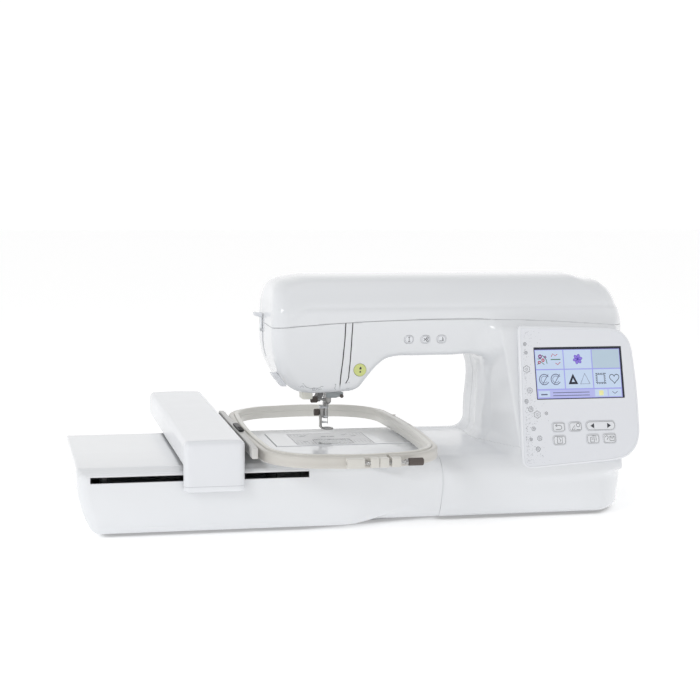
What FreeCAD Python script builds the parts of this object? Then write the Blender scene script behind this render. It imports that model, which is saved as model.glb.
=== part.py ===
import FreeCAD, Part
import math
import os
import Sketcher

Vector = FreeCAD.Vector
Rotation = FreeCAD.Rotation
doc = FreeCAD.newDocument("embroidery_machine")


class Term:
    """A size: its number, and the spreadsheet formula that gives it."""

    def __init__(self, value, text):
        self.value = float(value)
        self.text = text

    def __add__(self, other):
        other = term(other)
        return Term(self.value + other.value, "(%s + %s)" % (self.text, other.text))

    def __sub__(self, other):
        other = term(other)
        return Term(self.value - other.value, "(%s - %s)" % (self.text, other.text))

    def __mul__(self, other):
        other = term(other)
        return Term(self.value * other.value, "(%s * %s)" % (self.text, other.text))

    def __truediv__(self, other):
        other = term(other)
        return Term(self.value / other.value, "(%s / %s)" % (self.text, other.text))

    def __radd__(self, other):
        return term(other) + self

    def __rsub__(self, other):
        return term(other) - self

    def __rmul__(self, other):
        return term(other) * self

    def __neg__(self):
        return term(0) - self

    def root(self):
        return Term(math.sqrt(self.value), "sqrt(%s)" % self.text)


def term(thing):
    """A plain number as a Term; a Term as it is."""
    if isinstance(thing, Term):
        return thing
    return Term(thing, "(%s)" % repr(float(thing)))


# ---------------------------------------------------------------------------
# Driving dimensions, in millimetres. Heights are above the table. Sideways (x) and
# depth (y) places are measured from the needle: +x is towards the handwheel and
# +y is away from the person sewing.
# ---------------------------------------------------------------------------
DIMENSIONS = {
    # the needle, seen from the middle of the whole object's footprint
    "needle_x": -27.5, "needle_y": 14.5,
    # common to many pieces
    "gap": 0.3, "wall": 2.8, "foot_height": 4.0, "floor_thick": 2.5, "play": 0.05,
    # sewing head, arm and column
    "head_left": -83.0, "body_right": 380.0, "arm_front": -62.0, "arm_back": 66.0, "split_y": 12.0,
    "head_under": 155.0, "head_shoulder": 210.0, "head_corner_x": -50.0, "head_corner_arc": 75.0, "face_corner": 14.0,
    "notch_x": 22.0, "notch_mid_x": 54.0, "notch_mid_z": 192.0, "notch_end_x": 68.0,
    "arm_under": 200.5, "column_left": 196.0, "column_arc": 24.0, "side_arc": 60.0,
    "slot_x": 7.5, "slot_width": 1.8, "strip_right": 16.5, "strip_low": 157.0,
    # arched seam between the body and its lid
    "seam_edge": 237.5, "seam_crown": 10.0, "seam_arc": 2685.0,
    "lid_top": 303.0, "lid_shoulder": 262.0, "lid_wall": 3.0, "lid_right": 346.0, "lid_arc": 90.0,
    "deck_left": -73.0, "deck_right": 348.0, "deck_front": -50.0, "deck_back": 60.0, "deck_low": 234.0,
    "deck_top": 260.0, "recess_left": 190.0, "recess_right": 325.0, "recess_floor": 244.0,
    # base of the machine
    "bed_top": 88.7, "base_left": 118.4, "base_front": -139.0, "base_arc": 100.0, "base_ridge": 60.0,
    "base_toe": -114.0, "bed_crease": -58.0, "bed_edge_y": -104.0, "bed_edge": 82.5,
    # free arm, needle plate and hook
    "free_left": -77.0, "free_front": -60.0, "free_back": 36.0, "free_under": 34.0,
    "plate_half": 50.0, "plate_front": -56.5, "plate_back": 25.5, "plate_thick": 2.2, "needle_hole": 1.6,
    "cover_half": 24.0, "cover_back": -21.0, "cover_front": -50.0,
    "hook_y": -17.0, "hook_radius": 15.8, "hook_top": 80.0, "hook_low": 64.0, "hook_gear": 6.0,
    "bobbin_radius": 10.3, "bobbin_low": 68.2, "bobbin_high": 79.7,
    # needle drive
    "shaft_z": 211.0, "shaft_radius": 5.0, "shaft_left": 12.0, "crank_radius": 18.0, "crank_throw": 15.0,
    "wheel_radius": 24.5, "wheel_left": 372.0, "wheel_right": 388.0,
    "lower_z": 50.0, "lower_radius": 4.0, "pulley_radius": 22.0, "belt_x": 290.0, "belt_width": 8.0,
    "belt_thick": 1.6, "motor_z": 130.0, "motor_radius": 20.0, "motor_left": 215.0, "motor_right": 270.0,
    "motor_pulley": 8.0, "motor_belt_x": 312.0,
    "bar_radius": 3.1, "bar_low": 140.0, "bar_high": 226.0, "needle_tip": 104.0, "needle_radius": 0.42,
    "presser_y": 15.0, "presser_radius": 3.0, "foot_low": 98.8,
    "lever_y": 22.0, "lever_z": 247.0, "threader_x": 14.0, "threader_y": 18.0,
    # control panel: its face leans back by panel_slope millimetres of depth for each one of height
    "panel_slope": 0.3057, "panel_foot_y": -139.0, "panel_foot_z": 63.0, "panel_depth": 7.3,
    "panel_left": 222.5, "panel_right": 383.0, "panel_low": 64.5, "panel_high": 240.0, "film_depth": 0.8,
    "film_edge": 3.0, "screen_left": 247.7, "screen_right": 365.7, "screen_low": 148.8, "screen_high": 213.0,
    "key_proud": 0.9, "key_deep": 6.0, "key_gap": 0.5, "start_x": 28.4, "start_z": 184.0,
    "start_radius": 8.0, "operation_z": 222.0,
    # embroidery unit
    "unit_left": -333.0, "unit_right": 118.0, "unit_front": -173.0, "unit_back": 65.0, "unit_toe": -148.0,
    "unit_heel": -309.0, "unit_edge": 84.5, "unit_belly": 60.0, "taper_x": 0.0, "unit_corner": 16.0,
    "track_left": -318.0, "track_right": -57.5, "track_low": 70.6, "track_high": 78.1,
    # carriage and its rails
    "car_left": -210.0, "car_right": -137.0, "car_front": -187.5, "car_back": 222.0, "car_top": 120.6,
    "car_low": 90.5, "car_skirt": 58.5, "skirt_back": -175.2, "car_wall": 2.5, "car_corner": 7.0,
    "rail_radius": 4.0, "rail_front": -140.0, "rail_back": -90.0, "rail_z": 74.4,
    "slide_x": -175.0, "slide_z": 105.0, "slide_low": 100.5, "slide_high": 109.5,
    # embroidery frame: the window and the two rings round it
    "window_left": -104.0, "window_right": 88.0, "window_front": -223.5, "window_back": 142.0,
    "window_arc": 60.0, "window_bow": 5.0, "ring_inner": 6.0, "ring_outer": 7.0, "frame_low": 91.5, "frame_top": 108.0,
    "ear_front": -251.0, "ear_low": 94.5, "ear_high": 106.0, "split_x": 22.0, "screw_radius": 2.0,
}


sheet = doc.addObject("Spreadsheet::Sheet", "dims")
for row, (alias, number) in enumerate(DIMENSIONS.items(), start=1):
    sheet.set("A%d" % row, alias)
    sheet.set("B%d" % row, str(number))
    sheet.setAlias("B%d" % row, alias)
doc.recompute()


class Dims:
    """Every sheet cell as an attribute that is a Term."""


d = Dims()
for alias, number in DIMENSIONS.items():
    setattr(d, alias, Term(number, "dims.%s" % alias))


# ---------------------------------------------------------------------------
# Modelling helpers
# ---------------------------------------------------------------------------
def bind(thing, **sizes):
    """Give a property of an object its formula; double underscores stand for dots."""
    for name, size in sizes.items():
        thing.setExpression(name.replace("__", "."), term(size).text)
    return thing


def put(thing, x, y, z):
    """Bind an object's place."""
    return bind(thing, Placement__Base__x=x, Placement__Base__y=y, Placement__Base__z=z)


def box(name, x0, x1, y0, y1, z0, z1):
    """Box between two corners."""
    block = doc.addObject("Part::Box", name)
    bind(block, Length=term(x1) - x0, Width=term(y1) - y0, Height=term(z1) - z0)
    return put(block, x0, y0, z0)


TURNS = {"x": Rotation(Vector(0, 1, 0), 90), "y": Rotation(Vector(1, 0, 0), -90), "z": Rotation()}


def rod(name, axis, radius, x, y, z, length, radius_far=None):
    """Cylinder, or cone where radius_far is given, from a start point along +axis."""
    kind = "Part::Cylinder" if radius_far is None else "Part::Cone"
    piece = doc.addObject(kind, name)
    piece.Placement = FreeCAD.Placement(Vector(), TURNS[axis])
    if radius_far is None:
        bind(piece, Radius=radius)
    else:
        bind(piece, Radius1=radius, Radius2=radius_far)
    bind(piece, Height=length)
    return put(piece, x, y, z)


def tube(name, axis, radius, bore, x, y, z, length):
    """Cylinder with a through bore."""
    return cut(name, rod(name + "_out", axis, radius, x, y, z, length),
               rod(name + "_in", axis, bore, x, y, z, length))


def cut(name, base, *tools):
    """Base less the tools."""
    piece = doc.addObject("Part::Cut", name)
    piece.Base = base
    piece.Tool = tools[0] if len(tools) == 1 else fuse(name + "_tools", *tools)
    return piece


def fuse(name, *pieces):
    """Several pieces joined into one."""
    piece = doc.addObject("Part::MultiFuse", name)
    piece.Shapes = list(pieces)
    return piece


def common(name, *pieces):
    """The space that all pieces share."""
    piece = doc.addObject("Part::MultiCommon", name)
    piece.Shapes = list(pieces)
    return piece


PLANES = {"xy": ("XY_Plane", 1), "xz": ("XZ_Plane", -1), "yz": ("YZ_Plane", 1)}


def outline(sketch, points):
    """Closed outline through points (u, v) or (u, v, radius): the radius makes the next side an arc,
    which swells to the left of the direction of travel, or to the right where it is negative."""
    corners = [Vector(term(point[0]).value, term(point[1]).value, 0) for point in points]
    ends = []
    for index, point in enumerate(points):
        start, finish = corners[index], corners[(index + 1) % len(corners)]
        if len(point) < 3:
            sketch.addGeometry(Part.LineSegment(start, finish))
            ends.append((1, 2))
            continue
        radius = abs(term(point[2]).value)
        left = term(point[2]).value > 0
        chord = finish.sub(start)
        side = Vector(-chord.y, chord.x, 0).normalize()
        reach = math.sqrt(max(radius ** 2 - (chord.Length / 2) ** 2, 0))
        centre = start.add(chord * 0.5).sub(side * (reach if left else -reach))
        first, last = (finish, start) if left else (start, finish)
        angles = [math.atan2(spot.y - centre.y, spot.x - centre.x) for spot in (first, last)]
        if angles[1] < angles[0]:
            angles[1] += 2 * math.pi
        circle = Part.Circle(centre, Vector(0, 0, 1), radius)
        sketch.addGeometry(Part.ArcOfCircle(circle, angles[0], angles[1]))
        ends.append((2, 1) if left else (1, 2))
    for index, point in enumerate(points):
        after = (index + 1) % len(points)
        sketch.addConstraint(Sketcher.Constraint("Coincident", index, ends[index][1], after, ends[after][0]))
        for kind, size in (("DistanceX", point[0]), ("DistanceY", point[1])):
            rule = Sketcher.Constraint(kind, -1, 1, index, ends[index][0], term(size).value)
            slot = sketch.addConstraint(rule)
            sketch.setExpression("Constraints[%d]" % slot, term(size).text)
        if len(point) > 2:
            radius = term(point[2])
            radius = radius if radius.value > 0 else -radius
            slot = sketch.addConstraint(Sketcher.Constraint("Radius", index, radius.value))
            sketch.setExpression("Constraints[%d]" % slot, radius.text)


def prism(name, plane, low, high, points):
    """Padded sketch: an outline in a plane, from low to high along the axis square to it."""
    role, normal = PLANES[plane]
    body = doc.addObject("PartDesign::Body", name)
    sketch = body.newObject("Sketcher::SketchObject", name + "_sketch")
    origin_plane = [item for item in body.Origin.OriginFeatures if item.Role == role][0]
    sketch.AttachmentSupport = [(origin_plane, "")]
    sketch.MapMode = "FlatFace"
    bind(sketch, AttachmentOffset__Base__z=term(low) * normal)
    outline(sketch, points)
    pad = body.newObject("PartDesign::Pad", name + "_pad")
    pad.Profile = sketch
    pad.Reversed = normal < 0
    bind(pad, Length=term(high) - low)
    body.Tip = pad
    doc.recompute()
    return body


def along(edge, axis):
    """Whether an edge runs straight along x, y or z."""
    first, last = edge.Vertexes[0].Point, edge.Vertexes[-1].Point
    run = last.sub(first)
    sizes = {"x": abs(run.x), "y": abs(run.y), "z": abs(run.z)}
    return abs(sizes[axis] - edge.Length) < 1e-4 and edge.Length > 1e-3


def round_edges(body, radius, choose):
    """Fillet those edges of a body that the test picks."""
    base = body.Tip
    names = ["Edge%d" % (index + 1) for index, edge in enumerate(base.Shape.Edges) if choose(edge)]
    feature = body.newObject("PartDesign::Fillet", body.Name + "_round")
    feature.Base = (base, names)
    bind(feature, Radius=radius)
    body.Tip = feature
    doc.recompute()
    return body


NODES = []


def node(piece, label):
    """Name a finished sub-part and move it from the needle's frame to the object's."""
    piece.Label = label
    held = dict(piece.ExpressionEngine)
    for axis, offset in (("x", d.needle_x), ("y", d.needle_y)):
        key = "Placement.Base.%s" % axis
        text = held.get("." + key) or held.get(key)
        piece.setExpression(key, "%s + %s" % (text, offset.text) if text else offset.text)
    NODES.append(piece)
    return piece


# ---------------------------------------------------------------------------
# Shared outlines
# ---------------------------------------------------------------------------
def seam_at(x):
    """Height of the arched seam between body and lid."""
    middle = (d.head_left + d.body_right) / 2
    half = (d.body_right - d.head_left) / 2
    across = (term(x) - middle) / half
    return d.seam_edge + d.seam_crown * (1 - across * across)


def face_y(z, behind=0):
    """Depth of the control panel's leaning face at a height, and so far behind it."""
    return d.panel_foot_y + d.panel_slope * (term(z) - d.panel_foot_z) + behind


def leaning_slab(name, x0, x1, z0, z1, front, back):
    """Slab parallel to the control panel's face, between two depths behind it."""
    return prism(name, "yz", x0, x1, [(face_y(z0, front), z0), (face_y(z1, front), z1),
                                      (face_y(z1, back), z1), (face_y(z0, back), z0)])


def panel_outline(name, inset):
    """Front view of the panel: a slab a little lower on its right, with rounded right corners."""
    inset = term(inset)
    left, right, low, high = d.panel_left, d.panel_right, d.panel_low, d.panel_high
    return prism(name, "xz", d.panel_foot_y - 5, d.arm_front + 5, [
        (left + 6 + inset, low + inset), (right - 36, low + 7.5 + inset, -34),
        (right - inset, low + 40), (right - 2.2 - inset, high - 34, -28),
        (right - 26, high - 4.2 - inset), (left + 8 + inset, high - inset),
        (left + 7 + inset, high - 1 - inset), (left + inset * 2, low + 18), (left + inset * 2, low + 7, -9)])


def rounded_box(name, plane, low, high, u0, u1, v0, v1, radius):
    """Pad of a rectangle with rounded corners."""
    u0, u1, v0, v1, arc = term(u0), term(u1), term(v0), term(v1), term(radius)
    return prism(name, plane, low, high, [
        (u0 + arc, v0), (u1 - arc, v0, -arc), (u1, v0 + arc), (u1, v1 - arc, -arc),
        (u1 - arc, v1), (u0 + arc, v1, -arc), (u0, v1 - arc), (u0, v0 + arc, -arc)])


def hollow(body, open_faces):
    """Turn a padded body into a shell of the common wall, open at the picked faces."""
    base = body.Tip
    names = ["Face%d" % (index + 1) for index, face in enumerate(base.Shape.Faces) if open_faces(face)]
    shell = body.newObject("PartDesign::Thickness", body.Name + "_shell")
    shell.Base = (base, names)
    shell.Reversed = True
    bind(shell, Value=d.wall)
    body.Tip = shell
    doc.recompute()
    return body


def at(face, axis, place):
    """Whether a face lies flat at a place along an axis."""
    bounds = face.BoundBox
    low, high = {"x": (bounds.XMin, bounds.XMax), "y": (bounds.YMin, bounds.YMax),
                 "z": (bounds.ZMin, bounds.ZMax)}[axis]
    value = term(place).value
    return abs(low - value) < 0.01 and abs(high - value) < 0.01


def is_seam(face):
    """Whether a face is the arched top of a casing."""
    return face.BoundBox.ZMin > d.seam_edge.value - 1


# ---------------------------------------------------------------------------
# Sewing head, arm and column
# ---------------------------------------------------------------------------
def face_plate_solid(name, inset=0):
    """Left end of the head in front of the split, or its inner space with an inset."""
    inset = term(inset)
    over = 0 if inset.value == 0 else 1
    side = prism(name + "_side", "xz", d.arm_front, d.split_y + over, [
        (d.head_corner_x + over, d.head_under - over, d.head_corner_arc - inset),
        (d.head_left + inset, d.head_shoulder), (d.head_left + inset, seam_at(d.head_left) + over, d.seam_arc),
        (d.slot_x + over, seam_at(d.slot_x) + over), (d.slot_x + over, d.head_under - over)])
    arc = d.face_corner - inset
    left, front, right = d.head_left + inset, d.arm_front + inset, d.slot_x + 2
    plan = prism(name + "_plan", "xy", d.head_under - 2, d.deck_top, [
        (left + arc, front), (right, front), (right, d.split_y + over + 1), (left, d.split_y + over + 1),
        (left, front + arc, arc)])
    return common(name, side, plan)


def make_face_plate():
    shell = cut("face_shell", face_plate_solid("face_outer"), face_plate_solid("face_inner", d.wall))
    node(shell, "face_plate")


def key_hole(name, x0, x1, z0, z1, radius, play):
    """Rounded opening for an operation key in the front of the arm."""
    return rounded_box(name, "xz", d.arm_front - 5, d.arm_front + 10, term(x0) - play, term(x1) + play,
                       term(z0) - play, term(z1) + play, radius)


OPERATION_KEYS = (91.9, 113.6, 134.7)
KEY_HALF_WIDTH = 6.0
KEY_HALF_HEIGHT = 5.0


def handwheel_hole(name):
    """Round opening in the right side for the handwheel."""
    return rod(name, "x", d.wheel_radius + 1, d.body_right - 12, 0, d.shaft_z, 24)


def make_front_casing():
    left = d.slot_x + d.slot_width
    casing = prism("front_body", "xz", d.arm_front, d.split_y, [
        (left, d.strip_low), (d.notch_x, d.strip_low), (d.notch_mid_x, d.notch_mid_z),
        (d.notch_end_x, d.arm_under), (d.column_left, d.arm_under), (d.column_left, d.bed_top),
        (d.body_right, d.bed_top), (d.body_right, seam_at(d.body_right), -d.seam_arc),
        (left, seam_at(left))])
    front = d.arm_front.value + 1
    round_edges(casing, d.column_arc, lambda edge: along(edge, "z") and edge.BoundBox.YMax < front
                and abs(edge.BoundBox.XMin - d.column_left.value) < 1)
    round_edges(casing, d.side_arc, lambda edge: along(edge, "z") and edge.BoundBox.YMax < front
                and abs(edge.BoundBox.XMin - d.body_right.value) < 1)
    hollow(casing, lambda face: at(face, "y", d.split_y) or at(face, "z", d.bed_top)
           or at(face, "x", left) or is_seam(face))
    cuts = [key_hole("operation_hole_%d" % index, x - KEY_HALF_WIDTH, x + KEY_HALF_WIDTH,
                     d.operation_z - KEY_HALF_HEIGHT, d.operation_z + KEY_HALF_HEIGHT, 1.8, 0.4)
            for index, x in enumerate(OPERATION_KEYS)]
    cuts.append(rod("start_hole", "y", d.start_radius + 0.4, d.start_x, d.arm_front - 5, d.start_z, 15))
    cuts.append(box("thread_channel", d.strip_right - d.slot_width, d.strip_right, d.arm_front - 1,
                    d.arm_front + 4, d.strip_low + 13, 260))
    cuts.append(handwheel_hole("front_wheel_hole"))
    node(cut("front_casing_cut", casing, *cuts), "front_casing")


def make_rear_casing():
    casing = prism("rear_body", "xz", d.split_y, d.arm_back, [
        (d.head_corner_x, d.head_under, d.head_corner_arc), (d.head_left, d.head_shoulder),
        (d.head_left, seam_at(d.head_left), d.seam_arc), (d.body_right, seam_at(d.body_right)),
        (d.body_right, d.bed_top), (d.column_left, d.bed_top), (d.column_left, d.arm_under),
        (d.notch_end_x, d.arm_under), (d.notch_mid_x, d.notch_mid_z), (d.notch_x, d.head_under)])
    space = prism("rear_space", "xz", d.split_y - 1, d.arm_back - d.wall, [
        (d.head_corner_x + 1, d.head_under - 1, d.head_corner_arc - d.wall),
        (d.head_left + d.wall, d.head_shoulder), (d.head_left + d.wall, d.deck_top),
        (d.body_right - d.wall, d.deck_top), (d.body_right - d.wall, d.bed_top - 1),
        (d.column_left + d.wall, d.bed_top - 1), (d.column_left + d.wall, d.arm_under + d.wall),
        (d.notch_end_x - 1, d.arm_under + d.wall), (d.notch_mid_x - 2, d.notch_mid_z + 2),
        (d.notch_x - d.wall, d.head_under - 1)])
    slot = box("lever_slot", d.head_left - 2, d.head_left + 10, d.lever_y - 4.5, d.lever_y + 4.5,
               d.lever_z - 54.5, d.lever_z - 16)
    node(cut("rear_casing_cut", casing, space, slot, handwheel_hole("rear_wheel_hole")), "rear_casing")


def lid_solid(name, inset):
    """Outer form of the lid, or its inner space with an inset: side view, front view and plan in common."""
    inset = term(inset)
    shoulder = d.lid_shoulder - inset
    side = prism(name + "_side", "yz", d.head_left + inset, d.body_right - inset, [
        (d.arm_front + inset, d.seam_edge - 5), (d.arm_front + inset, shoulder, d.lid_arc),
        (-18, d.lid_top - 3 - inset, 120), (34, d.lid_top - 3 - inset, d.lid_arc),
        (d.arm_back - inset, shoulder + 4), (d.arm_back - inset, d.seam_edge - 5)])
    low = d.gap if inset.value == 0 else term(-20)
    edge = d.seam_edge + low
    front = prism(name + "_front", "xz", d.arm_front - 1, d.arm_back + 1, [
        (d.head_left + inset, edge, d.seam_arc), (d.body_right - inset, edge),
        (d.body_right - inset - 1, edge + 8), (d.lid_right + 14 - inset, d.lid_top - 10 - inset),
        (d.lid_right - inset, d.lid_top - inset), (d.head_left + 26 + inset, d.lid_top - inset),
        (d.head_left + 6 + inset, d.lid_top - 9 - inset)])
    return common(name, side, front)


def make_top_lid():
    shell = cut("lid_shell", lid_solid("lid_outer", 0), lid_solid("lid_inner", d.lid_wall))
    corner = cut("lid_corner", box("lid_corner_block", d.body_right - d.side_arc, d.body_right + 1,
                                   d.arm_front - 1, d.arm_front + d.side_arc, 230, 310),
                 rod("lid_corner_round", "z", d.side_arc, d.body_right - d.side_arc,
                     d.arm_front + d.side_arc, 230, 80))
    node(cut("top_lid_cut", shell, corner), "top_lid")


def make_top_deck():
    block = box("deck_block", d.deck_left, d.deck_right, d.deck_front, d.deck_back, d.deck_low, d.deck_top)
    left_space = box("deck_left_space", d.deck_left + d.wall, d.recess_left - d.wall, d.deck_front + d.wall,
                     d.deck_back - d.wall, d.deck_low - 1, d.deck_top - d.wall)
    right_space = box("deck_right_space", d.recess_left, d.deck_right - d.wall, d.deck_front + d.wall,
                      d.deck_back - d.wall, d.deck_low - 1, d.recess_floor - d.wall)
    recess = rounded_box("deck_recess", "xy", d.recess_floor, d.deck_top + 1, d.recess_left, d.recess_right,
                         -38, 42, 8)
    winder = rod("winder_hole", "z", 3.05, 338.5, 20, d.deck_low - 1, 40)
    node(cut("top_deck_cut", block, left_space, right_space, recess, winder), "top_deck")
    pin = fuse("spool_parts", rod("spool_rod", "x", 2.5, d.recess_left, 0, 262, 88),
               rod("spool_flange", "x", 12, d.recess_left + 2, 0, 262, 2.5),
               box("spool_foot", d.recess_left, d.recess_left + 5, -5, 5, d.recess_floor, 262))
    node(pin, "spool_pin")
    spindle = fuse("winder_parts", rod("winder_rod", "z", 3, 338.5, 20, d.recess_floor - 12, 30),
                   rod("winder_disc", "z", 9, 338.5, 20, d.deck_top + 0.4, 2))
    node(spindle, "bobbin_winder")


make_face_plate()
make_front_casing()
make_rear_casing()
make_top_lid()
make_top_deck()


# ---------------------------------------------------------------------------
# Base, free arm, needle plate and hook
# ---------------------------------------------------------------------------
def base_solid(name, inset):
    """Outer form of the base, or its inner space with an inset: side view and plan in common."""
    inset = term(inset)
    low = d.foot_height - inset
    side = prism(name + "_side", "yz", d.base_left + inset, d.body_right - inset, [
        (d.arm_back - inset, low), (d.arm_back - inset, d.bed_top - inset),
        (d.bed_crease, d.bed_top - inset), (d.bed_edge_y, d.bed_edge - inset, term(-40)),
        (d.base_front + inset, d.base_ridge, term(-180)), (d.base_toe + inset, low)])
    arc = d.base_arc - inset
    plan = prism(name + "_plan", "xy", low, d.bed_top, [
        (d.base_left, d.arm_back), (d.base_left, d.base_front - 1),
        (d.body_right - d.base_arc, d.base_front + inset, -arc),
        (d.body_right - inset, d.base_front + d.base_arc), (d.body_right - inset, d.arm_back)])
    return common(name, side, plan)


INLET = (18, 46, 34, 54)
SWITCH = (-14, 8, 34, 54)


def make_base():
    shell = cut("base_shell", base_solid("base_outer", 0), base_solid("base_inner", d.wall))
    cuts = [box("belt_opening", d.belt_x - 6, d.motor_belt_x - 4, -30, 30, d.bed_top - 5, d.bed_top + 1),
            rod("shaft_opening", "x", 8, d.base_left - 1, 0, d.lower_z, 6)]
    for name, (y0, y1, z0, z1) in (("inlet_hole", INLET), ("switch_hole", SWITCH)):
        cuts.append(box(name, d.body_right - 6, d.body_right + 1, y0, y1, z0, z1))
    cuts.append(common("panel_pocket", panel_outline("panel_pocket_front", -0.4),
                       leaning_slab("panel_pocket_lean", 200, 400, 50, 120, -3, d.panel_depth + 0.4)))
    node(cut("base_casing_cut", shell, *cuts), "base_casing")
    plan = prism("base_floor_plan", "xy", d.foot_height, d.foot_height + d.floor_thick, [
        (d.base_left + d.wall + d.gap, d.base_toe + 6), (d.body_right - 52, d.base_toe + 6),
        (d.body_right - d.wall - 3, -52), (d.body_right - d.wall - d.gap, d.arm_back - d.wall - d.gap),
        (d.base_left + d.wall + d.gap, d.arm_back - d.wall - d.gap)])
    node(plan, "base_floor")
    y0, y1, z0, z1 = INLET
    block = box("inlet_block", d.body_right - 22, d.body_right - 0.5, y0 + 0.2, y1 - 0.2, z0 + 0.2, z1 - 0.2)
    socket = box("inlet_socket", d.body_right - 16, d.body_right, y0 + 3, y1 - 3, z0 + 3, z1 - 3)
    blades = [box("inlet_blade_%d" % index, d.body_right - 16, d.body_right - 6, y - 1, y + 1, 42, 46)
              for index, y in enumerate((28, 36))]
    node(fuse("inlet_parts", cut("inlet_shell", block, socket), *blades), "power_inlet")
    y0, y1, z0, z1 = SWITCH
    rocker = prism("rocker_body", "xz", y0 + 0.8, y1 - 0.8, [
        (d.body_right - 8, z0 + 1.5), (d.body_right + 1.6, z0 + 1.5), (d.body_right - 0.4, (z0 + z1) / 2),
        (d.body_right - 0.6, z1 - 1.5), (d.body_right - 8, z1 - 1.5)])
    node(rocker, "power_switch")


def make_free_arm():
    outer = rounded_box("free_outer", "yz", d.free_left, d.base_left - 0.2, d.free_front, d.free_back,
                        d.free_under, d.bed_top, 0.6)
    inner = box("free_inner", d.free_left + d.wall, d.base_left + 1, d.free_front + d.wall,
                d.free_back - d.wall, d.free_under + d.wall, d.bed_top - d.wall)
    seat = box("plate_seat", -d.plate_half - 0.15, d.plate_half + 0.15, d.plate_front - 0.15,
               d.plate_back + 0.15, d.bed_top - d.plate_thick, d.bed_top + 1)
    through = box("plate_through", -d.plate_half + 3, d.plate_half - 3, d.plate_front + 3, d.plate_back - 3,
                  d.bed_top - 5, d.bed_top + 1)
    node(cut("free_arm_cut", outer, inner, seat, through), "free_arm_casing")


def cover_outline(name, play, low, high):
    """Bobbin cover: straight at the back, bowed at the front."""
    half = d.cover_half + play
    return prism(name, "xy", low, high, [
        (-half, d.cover_back + play), (-half, d.cover_front, -60), (half, d.cover_front),
        (half, d.cover_back + play)])


def make_needle_plate():
    low = d.bed_top - d.plate_thick
    sheet_metal = rounded_box("plate_sheet", "xy", low, d.bed_top, -d.plate_half, d.plate_half,
                              d.plate_front, d.plate_back, 2.5)
    opening = cover_outline("cover_opening", 0.3, low - 1, d.bed_top + 1)
    hole = rod("needle_opening", "z", d.needle_hole, 0, 0, low - 1, 5)
    slots = [rounded_box("plate_slot_%d" % index, "xy", low - 1, d.bed_top + 1, x0, x1, y0, y1, 0.7)
             for index, (x0, x1, y0, y1) in enumerate(((-36, -30, 6, 8), (20, 26, 9, 11), (33, 36, 0, 2)))]
    node(cut("needle_plate_cut", sheet_metal, opening, hole, *slots), "needle_plate")
    node(cover_outline("bobbin_cover_body", 0, d.bed_top - 1.8, d.bed_top - 0.1), "bobbin_cover")


def make_hook():
    cup = rod("hook_cup", "z", d.hook_radius, 0, d.hook_y, d.hook_low, d.hook_top - d.hook_low)
    bowl = rod("hook_bowl", "z", d.hook_radius - 1.6, 0, d.hook_y, d.hook_low + 2, 30)
    stem = rod("hook_stem", "z", 3.5, 0, d.hook_y, d.lower_z - 6, d.hook_low - d.lower_z + 7)
    gear = rod("hook_gear_disc", "z", d.hook_gear, 0, d.hook_y, d.lower_z - 5, 10)
    point = box("hook_gap", -4, 4, d.hook_y + 10, d.hook_y + 20, d.hook_top - 6, d.hook_top + 1)
    node(cut("hook_cut", fuse("hook_parts", cup, stem, gear), bowl, point), "rotary_hook")
    low = d.hook_low + 2 + d.gap
    case_radius = d.hook_radius - 1.6 - 0.4
    case = cut("case_cut", rod("case_out", "z", case_radius, 0, d.hook_y, low, 13.5),
               rod("case_in", "z", case_radius - 1.6, 0, d.hook_y, low + 1.5, 30))
    node(case, "bobbin_case")
    height = d.bobbin_high - d.bobbin_low
    bobbin = fuse("bobbin_parts", rod("bobbin_hub", "z", 4, 0, d.hook_y, d.bobbin_low, height),
                  rod("bobbin_low_disc", "z", d.bobbin_radius, 0, d.hook_y, d.bobbin_low, 1),
                  rod("bobbin_thread", "z", d.bobbin_radius - 2, 0, d.hook_y, d.bobbin_low + 1, height - 2),
                  rod("bobbin_high_disc", "z", d.bobbin_radius, 0, d.hook_y, d.bobbin_high - 1, 1))
    node(cut("bobbin_cut", bobbin, rod("bobbin_bore", "z", 2.8, 0, d.hook_y, d.bobbin_low - 1, 20)), "bobbin")


# ---------------------------------------------------------------------------
# Needle drive: cast frame, shafts, motor, belts and bars
# ---------------------------------------------------------------------------
POST_PLACES = (24, 150, 334)


def make_frame_casting():
    back = prism("frame_plate", "xz", 40, 45, [
        (-40, 168), (-60, 200), (-60, 228), (364, 228), (364, 96), (208, 96), (208, 206), (62, 206),
        (40, 190), (16, 168)])
    parts = [back]
    for index, x in enumerate(POST_PLACES):
        parts.append(box("shaft_post_%d" % index, x, x + 10, -9, 41, d.shaft_z - 7, d.shaft_z + 9))
    parts.append(box("low_guide", -9, 6, -7, 41, 160, 168))
    parts.append(box("low_guide_drop", -9, 6, 34, 41, 160, 175))
    parts.append(box("high_guide", -9, 6, -7, 41, 180, 187))
    parts.append(box("motor_mount", d.motor_left - 6, d.motor_left - 0.3, -18, 41, 112, 148))
    parts.append(box("lever_post", 2, 7.2, 26, 41, 220, 228))
    parts.append(rod("lever_pin", "x", 2.5, 3, 30, 224, 8))
    parts.append(box("lifter_post", 4.6, 8.6, 30, 41, 143, 170))
    parts.append(rod("lifter_pin", "x", 2.5, -4.4, 34, 148, 10))
    holes = [rod("shaft_bore", "x", d.shaft_radius + d.play, 0, 0, d.shaft_z, 360),
             rod("bar_bore", "z", d.bar_radius + d.play, 0, 0, 150, 50),
             rod("presser_bore", "z", d.presser_radius + d.play, 0, d.presser_y, 150, 50)]
    node(cut("frame_cut", fuse("frame_parts", *parts), *holes), "cast_frame")


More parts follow.
